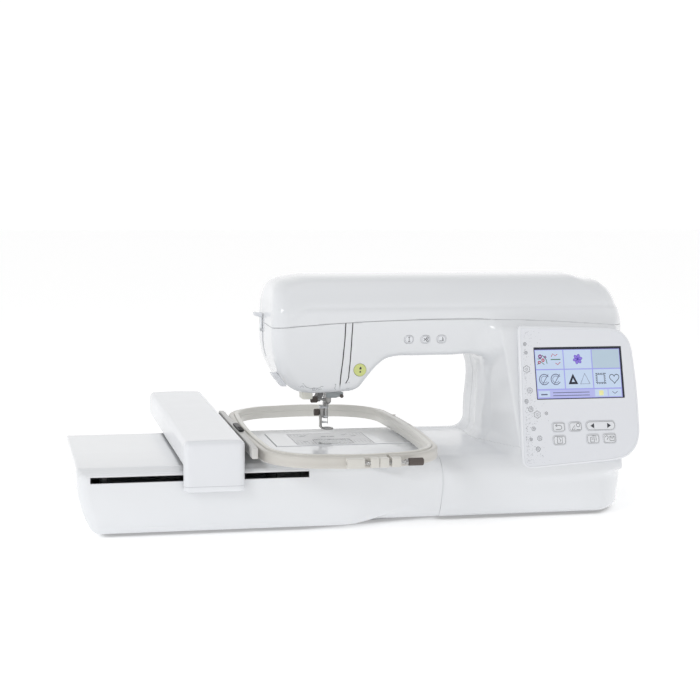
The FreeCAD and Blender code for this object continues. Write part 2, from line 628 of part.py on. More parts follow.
def make_shafts():
    shaft = fuse("main_parts",
                 rod("main_rod", "x", d.shaft_radius, d.shaft_left, 0, d.shaft_z, d.wheel_left - d.shaft_left + 4),
                 rod("crank_disc", "x", d.crank_radius, d.shaft_left, 0, d.shaft_z, 5),
                 rod("crank_pin", "x", 2, d.shaft_left - 2.6, 0, d.shaft_z + d.crank_throw, 4),
                 rod("main_pulley", "x", d.pulley_radius, d.belt_x, 0, d.shaft_z, d.belt_width),
                 rod("motor_wheel", "x", d.pulley_radius, d.motor_belt_x, 0, d.shaft_z, d.belt_width))
    node(shaft, "main_shaft")
    rim = rod("wheel_rim", "x", d.wheel_radius, d.wheel_left, 0, d.shaft_z, d.wheel_right - d.wheel_left)
    dish = rod("wheel_dish", "x", d.wheel_radius - 5, d.wheel_right - 4, 0, d.shaft_z, 6)
    bore = rod("wheel_bore", "x", d.shaft_radius + 0.02, d.wheel_left - 1, 0, d.shaft_z, 5)
    grips = []
    for index in range(24):
        angle = math.radians(15 * index)
        grips.append(rod("wheel_grip_%d" % index, "x", 1.1, d.wheel_left - 1,
                         d.wheel_radius * math.cos(angle), d.shaft_z + d.wheel_radius * math.sin(angle), 20))
    node(cut("wheel_cut", rim, dish, bore, *grips), "handwheel")
    lower = fuse("lower_parts", rod("lower_rod", "x", d.lower_radius, -8, 0, d.lower_z, d.belt_x + 16),
                 rod("lower_gear", "x", -d.hook_y - d.hook_gear - d.gap, -5, 0, d.lower_z, 10),
                 rod("lower_pulley", "x", d.pulley_radius, d.belt_x, 0, d.lower_z, d.belt_width))
    node(lower, "lower_shaft")
    motor = fuse("motor_parts",
                 rod("motor_can", "x", d.motor_radius, d.motor_left, 0, d.motor_z, d.motor_right - d.motor_left),
                 rod("motor_boss", "x", 7, d.motor_right, 0, d.motor_z, 3))
    bore = rod("motor_bore", "x", 2.5 + d.play, d.motor_left + 10, 0, d.motor_z, 60)
    node(cut("motor_cut", motor, bore), "drive_motor")
    spindle = fuse("spindle_parts",
                   rod("spindle_rod", "x", 2.5, d.motor_left + 12, 0, d.motor_z,
                       d.motor_belt_x + d.belt_width - d.motor_left - 12),
                   rod("spindle_pulley", "x", d.motor_pulley, d.motor_belt_x, 0, d.motor_z, d.belt_width))
    node(spindle, "motor_pulley")


def belt_loop(name, x, low_z, low_radius, high_radius):
    """Outline of a belt round a low and a high pulley, filled, standing upright behind x."""
    lean = (high_radius - low_radius) / (d.shaft_z - low_z)
    level = (1 - lean * lean).root()
    low_y, low_at = low_radius * level, low_z - low_radius * lean
    high_y, high_at = high_radius * level, d.shaft_z - high_radius * lean
    return prism(name, "yz", x, x + d.belt_width, [
        (-low_y, low_at), (-high_y, high_at, high_radius), (0, d.shaft_z + high_radius, high_radius),
        (high_y, high_at), (low_y, low_at, low_radius), (0, low_z - low_radius, low_radius)])


def make_belts():
    belts = []
    for name, x, low_z, low_radius in (("hook_belt", d.belt_x, d.lower_z, d.pulley_radius),
                                       ("motor_belt", d.motor_belt_x, d.motor_z, d.motor_pulley)):
        rings = []
        for side, reach in (("out", d.gap + d.belt_thick), ("in", d.gap)):
            rings.append(belt_loop("%s_%s" % (name, side), x, low_z, low_radius + reach,
                                   d.pulley_radius + reach))
        belts.append(cut(name, *rings))
    node(fuse("belt_pair", *belts), "drive_belts")


def make_bars():
    node(rod("needle_bar_rod", "z", d.bar_radius, 0, 0, d.bar_low, d.bar_high - d.bar_low), "needle_bar")
    clamp = cut("clamp_cut", rod("clamp_body", "z", 4.3, 0, 0, d.bar_low - 8, 12),
                rod("clamp_bore", "z", d.bar_radius, 0, 0, d.bar_low, 10),
                rod("clamp_needle_bore", "z", 1.1, 0, 0, d.bar_low - 9, 10))
    screw = fuse("clamp_parts", clamp, rod("clamp_screw", "x", 1.5, -14, 0, d.bar_low - 2, 10.2),
                 rod("clamp_knob", "x", 4.2, -23, 0, d.bar_low - 2, 9.5))
    node(screw, "needle_clamp")
    needle = fuse("needle_parts", rod("needle_shank", "z", 1.0, 0, 0, d.bar_low - 8, 8),
                  rod("needle_blade", "z", d.needle_radius, 0, 0, d.needle_tip + 3, d.bar_low - d.needle_tip - 10),
                  rod("needle_point", "z", 0.08, 0, 0, d.needle_tip, 3, d.needle_radius))
    node(needle, "needle")
    node(rod("presser_rod", "z", d.presser_radius, 0, d.presser_y, d.foot_low + 12, 90), "presser_bar")
    ring = tube("foot_ring", "z", 7.5, 4.5, 0, 0, d.foot_low, 2)
    sole = rounded_box("foot_arm", "xy", d.foot_low, d.foot_low + 2, -8.2, -5.2, -2, 19, 1)
    stem = box("foot_stem", -8.0, -5.6, 9, 19, d.foot_low + 1, d.foot_low + 14)
    shank = box("foot_shank", -8.0, -3.2, 10, 20, d.foot_low + 13, d.foot_low + 28)
    bore = rod("foot_screw_bore", "x", 1.6, -12, d.presser_y, d.foot_low + 20, 12)
    node(cut("foot_cut", fuse("foot_parts", ring, sole, stem, shank), bore), "embroidery_foot")
    node(fuse("foot_screw_parts", rod("foot_thread", "x", 1.5, -8.3, d.presser_y, d.foot_low + 20, 5),
              rod("foot_knob", "x", 4.5, -15.3, d.presser_y, d.foot_low + 20, 7)), "foot_screw")
    arm = prism("lifter_arm", "yz", -4, 4, [(32, 145), (36, 143), (72, 124), (80, 124), (80, 129), (70, 133),
                                            (37, 152), (32, 152)])
    node(cut("lifter_cut", arm, rod("lifter_bore", "x", 2.55, -5, 34, 148, 12)), "presser_lever")
    lever = prism("take_up_body", "yz", 7.8, 9.0, [(35, 219), (35, 229), (-50, 230), (-57, 233), (-57, 226),
                                                   (-48, 225)])
    node(cut("take_up_cut", lever, rod("take_up_bore", "x", 2.55, 6, 30, 224, 5)), "take_up_lever")


def make_threader():
    stem = box("lever_stem", d.head_left - 2.8, d.head_left + 6, d.lever_y - 3, d.lever_y + 3,
               d.lever_z - 21, d.lever_z - 17)
    web = box("lever_web", d.head_left - 2.8, d.head_left - 0.6, d.lever_y - 3, d.lever_y + 3,
              d.lever_z - 21, d.lever_z + 2)
    tab = prism("lever_tab", "xz", d.lever_y - 4, d.lever_y + 4, [
        (d.head_left - 12, d.lever_z + 4), (d.head_left - 12, d.lever_z), (d.head_left - 0.6, d.lever_z - 4),
        (d.head_left - 0.6, d.lever_z + 3)])
    node(fuse("threader_lever_parts", stem, web, tab), "threader_lever")
    bar = fuse("threader_parts", rod("threader_rod", "z", 2, d.threader_x, d.threader_y, 141, 47),
               box("threader_bracket", d.threader_x - 3, d.threader_x + 4, d.threader_y - 26,
                   d.threader_y + 1, 141, 148),
               box("threader_fork", d.threader_x - 5, d.threader_x - 3, d.threader_y - 26, d.threader_y - 12,
                   141, 146))
    node(bar, "threader_bar")
    rise = d.head_shoulder - d.head_under
    run = d.head_corner_x - d.head_left
    half = (rise * rise + run * run).root() / 2
    back = (d.head_corner_arc * d.head_corner_arc - half * half).root() / (half * 2)
    arc_x = (d.head_corner_x + d.head_left) / 2 + back * rise
    arc_z = (d.head_shoulder + d.head_under) / 2 + back * run
    band = cut("cutter_band", rod("cutter_outer", "y", d.head_corner_arc + 7, arc_x, -28, arc_z, 14),
               rod("cutter_inner", "y", d.head_corner_arc + 0.2, arc_x, -29, arc_z, 16))
    tab = common("cutter_tab", band, box("cutter_block", -84, -60, -28, -14, 160, 177))
    node(cut("cutter_cut", tab, rod("cutter_nick", "y", 2, -73, -30, 166, 20)), "thread_cutter")
    lamp = rounded_box("lamp_body", "xy", 143, 154.8, -40, -26, -32, -8, 3)
    node(lamp, "lamp_cover")


make_base()
make_free_arm()
make_needle_plate()
make_hook()
make_frame_casting()
make_shafts()
make_belts()
make_bars()
make_threader()


# ---------------------------------------------------------------------------
# Control panel and keys
# ---------------------------------------------------------------------------
PANEL_KEYS = {  # left, right, low and high edge of each key on the leaning face
    "panel_key_home": (264.5, 282.3, 108.5, 121.0),
    "panel_key_frame": (286.8, 304.8, 108.5, 121.0),
    "panel_key_page": (309.4, 349.8, 109.0, 121.6),
    "panel_key_trial": (264.5, 282.3, 92.5, 105.0),
    "panel_key_memory": (309.4, 327.2, 92.9, 105.4),
    "panel_key_help": (331.6, 349.8, 93.1, 105.8),
}


def key_openings(name):
    """Openings for the six keys, square to the front view."""
    return [box("%s_%s" % (name, key), x0 - d.key_gap, x1 + d.key_gap, d.panel_foot_y - 5, d.arm_front,
                z0 - d.key_gap, z1 + d.key_gap) for key, (x0, x1, z0, z1) in PANEL_KEYS.items()]


def make_panel():
    slab = common("panel_slab", panel_outline("panel_front", 0),
                  leaning_slab("panel_lean", 200, 400, 50, 250, 0, d.panel_depth))
    seat = common("film_seat", panel_outline("film_seat_front", d.film_edge - 0.2),
                  leaning_slab("film_seat_lean", 200, 400, 50, 250, -1, d.film_depth))
    screen_seat = leaning_slab("screen_seat", d.screen_left - 4, d.screen_right + 4, d.screen_low - 4,
                               d.screen_high + 4, -1, 5.2)
    wedge_out = leaning_slab("wedge_out", d.column_left + 12, 366, d.bed_top + 2.5, d.panel_high - 6,
                             d.panel_depth, 90)
    wedge_in = leaning_slab("wedge_in", d.column_left + 12 + d.wall, 366 - d.wall, d.bed_top + 5.3,
                            d.panel_high - 8.8, d.panel_depth + d.wall, 95)
    arc = d.column_arc
    behind = prism("wedge_back", "xy", 50, 260, [
        (d.column_left, d.arm_front + arc, -arc), (d.column_left + arc, d.arm_front), (400, d.arm_front),
        (400, 60), (d.column_left, 60)])
    under_arm = box("wedge_arm", 180, 400, d.arm_front, 60, d.arm_under - 0.3, 260)
    wedge = cut("panel_wedge", wedge_out, wedge_in, behind, under_arm)
    shell = fuse("panel_parts", cut("panel_face", slab, seat, screen_seat, *key_openings("housing")), wedge)
    node(shell, "panel_housing")
    film = common("film_slab", panel_outline("film_front", d.film_edge),
                  leaning_slab("film_lean", 200, 400, 50, 250, 0, d.film_depth - 0.05))
    window = leaning_slab("film_window", d.screen_left, d.screen_right, d.screen_low, d.screen_high, -2, 3)
    node(cut("film_cut", film, window, *key_openings("film")), "panel_film")
    glass = leaning_slab("screen_glass", d.screen_left + 0.2, d.screen_right - 0.2, d.screen_low + 0.2,
                         d.screen_high - 0.2, 0.2, 2)
    back = leaning_slab("screen_back", d.screen_left - 3, d.screen_right + 3, d.screen_low - 3,
                        d.screen_high + 3, 1, 5)
    node(fuse("screen_parts", glass, back), "lcd_screen")
    for key, (x0, x1, z0, z1) in PANEL_KEYS.items():
        node(leaning_slab(key + "_slab", x0, x1, z0, z1, -d.key_proud, d.key_deep), key)


def make_arm_keys():
    cap = rod("start_cap", "y", d.start_radius, d.start_x, d.arm_front - 1.2, d.start_z, 6.5)
    node(cap, "start_key")
    for name, x in zip(("needle_key", "cut_key", "presser_key"), OPERATION_KEYS):
        cap = rounded_box(name + "_cap", "xz", d.arm_front - 0.9, d.arm_front + 5.5, x - KEY_HALF_WIDTH,
                          x + KEY_HALF_WIDTH, d.operation_z - KEY_HALF_HEIGHT,
                          d.operation_z + KEY_HALF_HEIGHT, 1.8)
        node(cap, name)


# ---------------------------------------------------------------------------
# Embroidery unit: casing, floor, rails and carriage
# ---------------------------------------------------------------------------
def unit_solid(name, inset):
    """Outer form of the unit, or its inner space with an inset: side view, front view and plan in common."""
    inset = term(inset)
    low = d.foot_height - inset
    top = d.bed_top - inset
    front = d.unit_front + inset
    side = prism(name + "_side", "yz", d.unit_left, d.unit_right - inset, [
        (d.unit_back - inset, low), (d.unit_back - inset, top), (d.bed_crease, top),
        (front + 5, d.unit_edge + 1.2 - inset, -7), (front, d.unit_edge - 5), (front, d.unit_belly, -150),
        (d.unit_toe + inset, low)])
    front_view = prism(name + "_view", "xz", d.unit_front - 1, d.unit_back + 1, [
        (d.unit_heel + inset, low), (d.unit_left + inset, d.unit_belly + 8, 400),
        (d.unit_left + 2 + inset, top), (d.unit_right + 1, top), (d.unit_right + 1, low)])
    arc = d.unit_corner
    plan = prism(name + "_plan", "xy", low, d.bed_top, [
        (d.unit_left + inset, d.unit_back), (d.unit_left + inset, front + arc, -arc),
        (d.unit_left + arc + inset, front), (d.taper_x, front, 260),
        (d.unit_right, d.base_front + inset), (d.unit_right, d.unit_back)])
    return common(name, side, front_view, plan)


def make_unit():
    shell = cut("unit_shell", unit_solid("unit_outer", 0), unit_solid("unit_inner", d.wall))
    notch = box("unit_notch", d.free_left - 0.6, d.unit_right + 1, d.free_front - 0.6, d.free_back + 0.6,
                d.free_under - 0.6, d.bed_top + 1)
    track = box("unit_track", d.track_left, d.track_right, d.unit_front - 1, d.unit_front + 8, d.track_low,
                d.track_high)
    node(cut("unit_cut", shell, notch, track), "unit_casing")
    plan = prism("unit_floor_plan", "xy", d.foot_height, d.foot_height + d.floor_thick, [
        (d.unit_heel + 8, d.unit_back - 4), (d.unit_heel + 8, d.unit_toe + 5), (d.taper_x - 60, d.unit_toe + 5),
        (d.unit_right - 4, d.base_toe + 10), (d.unit_right - 4, d.unit_back - 4)])
    node(plan, "unit_floor")
    feet = [rod("foot_%d" % index, "z", 8, x, y, 0, d.foot_height) for index, (x, y) in enumerate((
        (145, -85), (330, -60), (145, 48), (360, 48), (-285, -112), (-20, -112), (-285, 45), (90, 45)))]
    node(fuse("feet_parts", *feet), "rubber_feet")
    rails = [rod("rail_%d" % index, "x", d.rail_radius, d.track_left + 16, y, d.rail_z,
                 d.track_right - d.track_left - 6) for index, y in enumerate((d.rail_front, d.rail_back))]
    ends = [box("rail_end_%d" % index, x, x + 6, d.rail_front - 8, d.rail_back + 8, d.foot_height + d.floor_thick,
                d.rail_z + 8) for index, x in enumerate((-303, -52))]
    node(fuse("rail_parts", *(rails + ends)), "unit_rails")


def make_carriage():
    """Moving arm of the unit: a base on the rails, with a cover over it."""
    left, right, front, back = d.car_left, d.car_right, d.car_front, d.car_back
    wall = d.car_wall
    long_box = rounded_box("cover_long", "xz", front, back, left, right, d.car_low - 10, d.car_top, d.car_corner)
    long_box = cut("cover_long_cut", long_box, box("cover_trim", left - 1, right + 1, d.skirt_back, back + 1,
                                                  d.car_low - 12, d.car_low))
    skirt = rounded_box("cover_skirt", "xz", front, d.skirt_back, left, right, d.car_skirt, d.car_top,
                        d.car_corner)
    outer = common("cover_outer", fuse("cover_solid", long_box, skirt),
                   rounded_box("cover_plan", "xy", 40, 130, left, right, front, back, d.car_corner))
    inner = box("cover_inner", left + wall, right - wall, front + wall, back - wall, d.car_low - 1,
                d.car_top - wall)
    skirt_inner = box("skirt_inner", left + wall, right - wall, front + wall, d.skirt_back + 1,
                      d.car_skirt + wall, d.car_low + 1)
    slot = box("holder_slot", right - 5, right + 1, front + 10, back - 10, d.slide_low, d.slide_high)
    node(cut("carriage_cover_cut", outer, inner, skirt_inner, slot), "carriage_cover")
    plate = box("base_plate", left + wall + 0.3, right - wall - 0.3, front + wall + 0.3, back - wall - 0.3,
                d.car_low + 0.1, d.car_low + 2.6)
    drop = box("base_drop", left + 8, right - 8, front + wall + 0.3, d.skirt_back - 1.5, d.car_skirt + 5,
               d.car_low + 1)
    tongue = box("base_tongue", left + 10, right - 10, d.skirt_back - 4, d.rail_front - 8, d.track_low + 1.2,
                 d.track_high - 1.2)
    block = box("base_block", left + 8, right - 8, d.rail_front - 9, d.rail_back + 9, 67, 82)
    bores = [rod("base_bore_%d" % index, "x", d.rail_radius + d.play, left, y, d.rail_z, 80)
             for index, y in enumerate((d.rail_front, d.rail_back))]
    ends = [box("slide_end_%d" % index, d.slide_x - 6, d.slide_x + 6, y, y + 3, d.car_low + 2, d.slide_z + 6)
            for index, y in enumerate((front + 4.5, back - 7.5))]
    slide = rod("slide_rod", "y", d.rail_radius, d.slide_x, front + 5, d.slide_z, back - front - 10)
    base = fuse("base_parts", plate, drop, tongue, cut("base_slider", block, *bores), slide, *ends)
    node(base, "carriage_base")


# ---------------------------------------------------------------------------
# Embroidery frame and its holder
# ---------------------------------------------------------------------------
def window_outline(name, grow, low, high, extra=0):
    """Frame outline: the window grown by an offset, its sides bowed outwards."""
    grow = term(grow)
    bow = d.window_bow + extra
    x0, x1 = d.window_left - grow, d.window_right + grow
    y0, y1 = d.window_front - grow, d.window_back + grow
    arc = d.window_arc + grow * 0.9
    across, along_y = x1 - x0 - 2 * arc, y1 - y0 - 2 * arc
    wide = across * across / (8 * bow)
    deep = along_y * along_y / (8 * bow)
    return prism(name, "xy", low, high, [
        (x0 + arc, y0, -wide), (x1 - arc, y0, -arc), (x1, y0 + arc, -deep), (x1, y1 - arc, -arc),
        (x1 - arc, y1, -wide), (x0 + arc, y1, -arc), (x0, y1 - arc), (x0, y0 + arc, -arc)])


def make_frame():
    low, high = d.frame_low, d.frame_top
    inner = cut("inner_cut", window_outline("inner_out", d.ring_inner, low, high),
                window_outline("inner_in", 0, low - 1, high + 1))
    node(inner, "inner_frame")
    reach = d.ring_inner + d.ring_outer
    ring = cut("outer_cut", window_outline("outer_out", reach, low + 1, high - 1.5, 1),
               window_outline("outer_in", d.ring_inner + 0.15, low - 1, high + 1))
    ears = [box("ear_%d" % index, x0, x1, d.ear_front, d.window_front - reach + 1.5, d.ear_low, d.ear_high)
            for index, (x0, x1) in enumerate(((-28, -7), (0, 22), (25.5, 36.5)))]
    lugs = [box("lug_%d" % index, d.window_left - reach - 6, d.window_left - reach + 1.5, y, y + 26, 98, 106)
            for index, y in enumerate((-110, 20))]
    gap = box("ring_split", d.split_x, d.split_x + 3.5, d.ear_front - 1, d.window_front - d.ring_inner, 80, 120)
    bore = rod("ear_bore", "x", d.screw_radius + d.play, -20, -246.5, 100, 70)
    node(cut("outer_frame_cut", fuse("outer_parts", ring, *(ears + lugs)), gap, bore), "outer_frame")
    screw = fuse("screw_parts", rod("screw_rod", "x", d.screw_radius, -19, -246.5, 100, 66),
                 rod("screw_knob", "x", 4.6, 46, -246.5, 100, 18))
    node(screw, "frame_screw")
    bar = rounded_box("holder_bar", "xz", -195, 90, d.car_right + 6.5, d.window_left - reach - 6.2, 98.5, 112, 1)
    arms = [box("holder_arm_%d" % index, d.slide_x + 10, d.car_right + 8, y, y + 24, 102, 108)
            for index, y in enumerate((-56, 10))]
    block = box("holder_block", d.slide_x - 12, d.slide_x + 12, -60, 38, 96, 113)
    bore = rod("holder_bore", "y", d.rail_radius + d.play, d.slide_x, -70, d.slide_z, 120)
    node(cut("holder_cut", fuse("holder_parts", bar, block, *arms), bore), "frame_holder")
    lever = rounded_box("lever_body", "xy", 112.4, 115.4, -129.5, -122.5, -84, -30, 3)
    node(lever, "frame_lever")


make_panel()
make_arm_keys()
make_unit()
make_carriage()
make_frame()


# ---------------------------------------------------------------------------
# Check and write
# ---------------------------------------------------------------------------
doc.recompute()
faults = []
for item in doc.Objects:
    if any(state in ("Invalid", "Error") for state in item.State):
        faults.append("%s is in state %s" % (item.Label, item.State))
for piece in NODES:
    if piece.Shape.isNull() or not piece.Shape.isValid() or not piece.Shape.Solids:
        faults.append("%s has no valid shape" % piece.Label)
if faults:
    raise RuntimeError("; ".join(faults))
os.makedirs("parts", exist_ok=True)
for piece in NODES:
    piece.Shape.exportStep("parts/%s.step" % piece.Label)
whole = Part.makeCompound([piece.Shape for piece in NODES]).BoundBox
print("%d nodes, x %.2f..%.2f, y %.2f..%.2f, z %.2f..%.2f" % (
    len(NODES), whole.XMin, whole.XMax, whole.YMin, whole.YMax, whole.ZMin, whole.ZMax))
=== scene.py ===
import math

import bmesh
import bpy
import numpy as np
from mathutils import Matrix, Vector


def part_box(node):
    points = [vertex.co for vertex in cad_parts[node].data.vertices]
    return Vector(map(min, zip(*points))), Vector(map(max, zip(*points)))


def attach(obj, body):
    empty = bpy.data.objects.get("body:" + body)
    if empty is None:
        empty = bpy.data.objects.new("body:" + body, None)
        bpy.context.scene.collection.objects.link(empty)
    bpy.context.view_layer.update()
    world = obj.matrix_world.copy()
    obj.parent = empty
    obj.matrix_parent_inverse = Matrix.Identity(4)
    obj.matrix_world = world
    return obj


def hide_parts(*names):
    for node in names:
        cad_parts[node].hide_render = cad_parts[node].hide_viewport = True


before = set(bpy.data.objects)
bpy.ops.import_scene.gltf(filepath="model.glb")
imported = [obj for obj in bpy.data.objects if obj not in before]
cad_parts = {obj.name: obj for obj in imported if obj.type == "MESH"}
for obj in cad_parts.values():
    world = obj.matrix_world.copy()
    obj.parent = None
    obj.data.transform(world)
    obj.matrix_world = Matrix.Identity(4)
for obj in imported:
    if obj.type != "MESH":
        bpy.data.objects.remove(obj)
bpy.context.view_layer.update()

MM = 0.001

# Places are worked out in millimetres from the needle, with z from the table, and then put in the frame.
_low, _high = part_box("needle")
NEEDLE = Vector(((_low[0] + _high[0]) / 2, (_low[1] + _high[1]) / 2, 0.0))


# ---------------------------------------------------------------------------
# Materials
# ---------------------------------------------------------------------------
def srgb(r, g, b):
    """Linear colour of an sRGB one given from 0 to 255."""
    values = [c / 255 for c in (r, g, b)]
    return [c / 12.92 if c <= 0.04045 else ((c + 0.055) / 1.055) ** 2.4 for c in values] + [1.0]


def material(name, colour, roughness=0.3, metallic=0.0, grain=0.0, grain_size=0.4, mottle=0.02,
             coat=0.0, spread=0.04, transmission=0.0, alpha=1.0, subsurface=0.0, glow=0.0, ior=1.46,
             stretch=(1, 1, 1), soft=0.0):
    """Procedural surface whose colour, roughness and fine grain vary a little with noise. Sizes in mm."""
    m = bpy.data.materials.new(name)
    m.use_nodes = True
    tree = m.node_tree
    shader = tree.nodes["Principled BSDF"]
    shader.inputs["Metallic"].default_value = metallic
    shader.inputs["IOR"].default_value = ior
    shader.inputs["Coat Weight"].default_value = coat
    shader.inputs["Coat Roughness"].default_value = 0.06
    shader.inputs["Transmission Weight"].default_value = transmission
    shader.inputs["Alpha"].default_value = alpha
    if subsurface:
        shader.inputs["Subsurface Weight"].default_value = subsurface
        shader.inputs["Subsurface Radius"].default_value = (0.004, 0.004, 0.004)
    place = tree.nodes.new("ShaderNodeTexCoord")
    scale = tree.nodes.new("ShaderNodeMapping")
    scale.inputs["Scale"].default_value = stretch
    tree.links.new(place.outputs["Object"], scale.inputs["Vector"])
    cloud = tree.nodes.new("ShaderNodeTexNoise")
    cloud.inputs["Scale"].default_value = 28.0
    cloud.inputs["Detail"].default_value = 5.0
    tree.links.new(scale.outputs["Vector"], cloud.inputs["Vector"])
    tint = tree.nodes.new("ShaderNodeMix")
    tint.data_type = "RGBA"
    tint.inputs["A"].default_value = [c * (1 - mottle) for c in colour[:3]] + [1]
    tint.inputs["B"].default_value = [min(1, c * (1 + mottle)) for c in colour[:3]] + [1]
    tree.links.new(cloud.outputs["Fac"], tint.inputs["Factor"])
    tree.links.new(tint.outputs["Result"], shader.inputs["Base Color"])
    rough = tree.nodes.new("ShaderNodeMapRange")
    rough.inputs["To Min"].default_value = max(0.02, roughness - spread)
    rough.inputs["To Max"].default_value = roughness + spread
    tree.links.new(cloud.outputs["Fac"], rough.inputs["Value"])
    tree.links.new(rough.outputs["Result"], shader.inputs["Roughness"])
    if grain:
        fine = tree.nodes.new("ShaderNodeTexNoise")
        fine.inputs["Scale"].default_value = 1 / (grain_size * MM)
        fine.inputs["Detail"].default_value = 2.0
        tree.links.new(scale.outputs["Vector"], fine.inputs["Vector"])
        bump = tree.nodes.new("ShaderNodeBump")
        bump.inputs["Strength"].default_value = grain
        bump.inputs["Distance"].default_value = 0.1 * MM
        tree.links.new(fine.outputs["Fac"], bump.inputs["Height"])
        tree.links.new(bump.outputs["Normal"], shader.inputs["Normal"])
    if soft:
        edge = tree.nodes.new("ShaderNodeBevel")
        edge.inputs["Radius"].default_value = soft * MM
        edge.samples = 6
        tree.links.new(edge.outputs["Normal"], bump.inputs["Normal"] if grain else shader.inputs["Normal"])
    if glow:
        shader.inputs["Emission Strength"].default_value = glow
        tree.links.new(tint.outputs["Result"], shader.inputs["Emission Color"])
    return m


WHITE = material("white_shell", srgb(232, 234, 237), roughness=0.17, grain=0.05, grain_size=2.2, coat=0.35,
                 mottle=0.006, spread=0.02)
CARRIAGE_WHITE = material("carriage_white", srgb(231, 233, 237), roughness=0.22, grain=0.06, grain_size=1.6,
                          coat=0.25, mottle=0.006, spread=0.02)
PANEL_WHITE = material("panel_white", srgb(236, 238, 242), roughness=0.24, grain=0.04, grain_size=1.2,
                       coat=0.2,
                       mottle=0.005)
FILM = material("film_white", srgb(233, 235, 240), roughness=0.34, grain=0.08, grain_size=0.5, mottle=0.006)
INNER_GREY = material("inner_grey", srgb(120, 122, 126), roughness=0.55, grain=0.25, grain_size=0.5,
                      soft=0.5)
DECK_GREY = material("deck_grey", srgb(196, 198, 202), roughness=0.42, grain=0.2, grain_size=0.5, soft=0.8)
HOOP = material("hoop_grey", srgb(206, 203, 197), roughness=0.33, grain=0.12, grain_size=0.6, coat=0.1,
                mottle=0.02, soft=0.6)
HOOP_PALE = material("hoop_pale", srgb(216, 214, 208), roughness=0.3, grain=0.1, grain_size=0.6, coat=0.1,
                     soft=0.6)
HOLDER = material("holder_grey", srgb(205, 204, 202), roughness=0.4, grain=0.15, grain_size=0.6, soft=0.8)
BLACK = material("black_plastic", srgb(24, 23, 25), roughness=0.42, grain=0.2, grain_size=0.5, soft=0.5)
# Near-black for what is seen through slots: painted shade on the sheet behind the thread slots, and on the
# carriage base partly its own dark, partly painted shade.
SLOT_SHADE_BLACK = material("slot_shade_black", srgb(20, 18, 20), roughness=0.6, grain=0.15, grain_size=0.8)
TAUPE = material("clamp_taupe", srgb(98, 90, 86), roughness=0.4, grain=0.2, grain_size=0.4, soft=0.3)
STEEL = material("bright_steel", srgb(190, 190, 190), roughness=0.26, metallic=1.0, grain=0.06,
                 grain_size=0.25,
                 spread=0.06, stretch=(1, 1, 0.15), soft=0.3)
TURNED = material("turned_steel", srgb(176, 175, 174), roughness=0.34, metallic=1.0, grain=0.12,
                  grain_size=0.2, soft=0.3)
PLATE = material("plate_steel", srgb(205, 206, 208), roughness=0.3, metallic=0.9, grain=0.1, grain_size=0.3,
                 stretch=(0.1, 1, 1), soft=0.3)
CAST = material("cast_metal", srgb(168, 170, 172), roughness=0.5, metallic=0.7, grain=0.5, grain_size=0.7,
                soft=0.8)
MOTOR = material("motor_grey", srgb(56, 57, 60), roughness=0.42, metallic=0.4, grain=0.2, soft=0.6)
RUBBER = material("rubber_black", srgb(26, 26, 27), roughness=0.75, grain=0.4, grain_size=0.5, soft=0.6)
CLEAR = material("clear_plastic", srgb(228, 234, 238), roughness=0.08, transmission=0.85, ior=1.49,
                 mottle=0.004)
GREEN = material("key_green", srgb(212, 220, 142), roughness=0.22, coat=0.4, subsurface=0.2)
KEY = material("key_white", srgb(233, 235, 239), roughness=0.26, grain=0.06, grain_size=0.6, coat=0.2,
               soft=0.5)
INK = material("ink_dark", srgb(58, 60, 66), roughness=0.5, mottle=0.05)
INK_PALE = material("ink_pale", srgb(184, 186, 192), roughness=0.42, mottle=0.03)
INK_MID = material("ink_mid", srgb(126, 128, 134), roughness=0.45, mottle=0.04)
THREADER = material("threader_grey", srgb(176, 182, 184), roughness=0.36, grain=0.12, grain_size=0.4,
                    soft=0.4)
WHEEL = material("wheel_white", srgb(228, 230, 234), roughness=0.26, grain=0.08, grain_size=0.6, coat=0.2)
# Dark bezel round the screen: its own colour at the left and bottom, and painted shade where it is widened at the
# top and right.
SCREEN_BEZEL_AND_SHADE = material("screen_bezel_and_shade", srgb(38, 40, 56), roughness=0.2, coat=0.3)


def screen_paint(name, r, g, b):
    return material(name, srgb(r, g, b), roughness=0.25, glow=0.17, mottle=0.03)


UI_LILAC = screen_paint("ui_lilac", 156, 158, 226)
UI_BAR = screen_paint("ui_bar", 176, 180, 228)
UI_BLUE = screen_paint("ui_blue", 192, 208, 230)
UI_BLUE_DEEP = screen_paint("ui_blue_deep", 178, 196, 210)
UI_YELLOW = screen_paint("ui_yellow", 226, 224, 160)
UI_GREY = screen_paint("ui_grey", 96, 100, 128)
UI_DARK = screen_paint("ui_dark", 42, 44, 58)
UI_PLUM = screen_paint("ui_plum", 128, 58, 120)
UI_RED = screen_paint("ui_red", 176, 58, 78)
UI_GREEN = screen_paint("ui_green", 66, 112, 84)
UI_VIOLET = screen_paint("ui_violet", 140, 118, 214)
UI_INDIGO = screen_paint("ui_indigo", 84, 70, 168)
LAMP = material("lamp_milky", srgb(242, 241, 232), roughness=0.4, subsurface=0.3, grain=0.1, soft=0.8)


# ---------------------------------------------------------------------------
# Rounded solids from distance fields
# ---------------------------------------------------------------------------
def round_max(a, b, r):
    """Both of two fields, with an outer edge rounded to radius r."""
    u, v = np.maximum(a + r, 0), np.maximum(b + r, 0)
    return np.minimum(np.maximum(a, b), -r) + np.sqrt(u * u + v * v)


def round_min(a, b, r):
    """Either of two fields, with an inner corner filled to radius r."""
    return -round_max(-a, -b, r)


def ease(value, start, end):
    """Smooth step from 0 at start to 1 at end."""
    t = np.clip((value - start) / (end - start), 0, 1)
    return t * t * (3 - 2 * t)


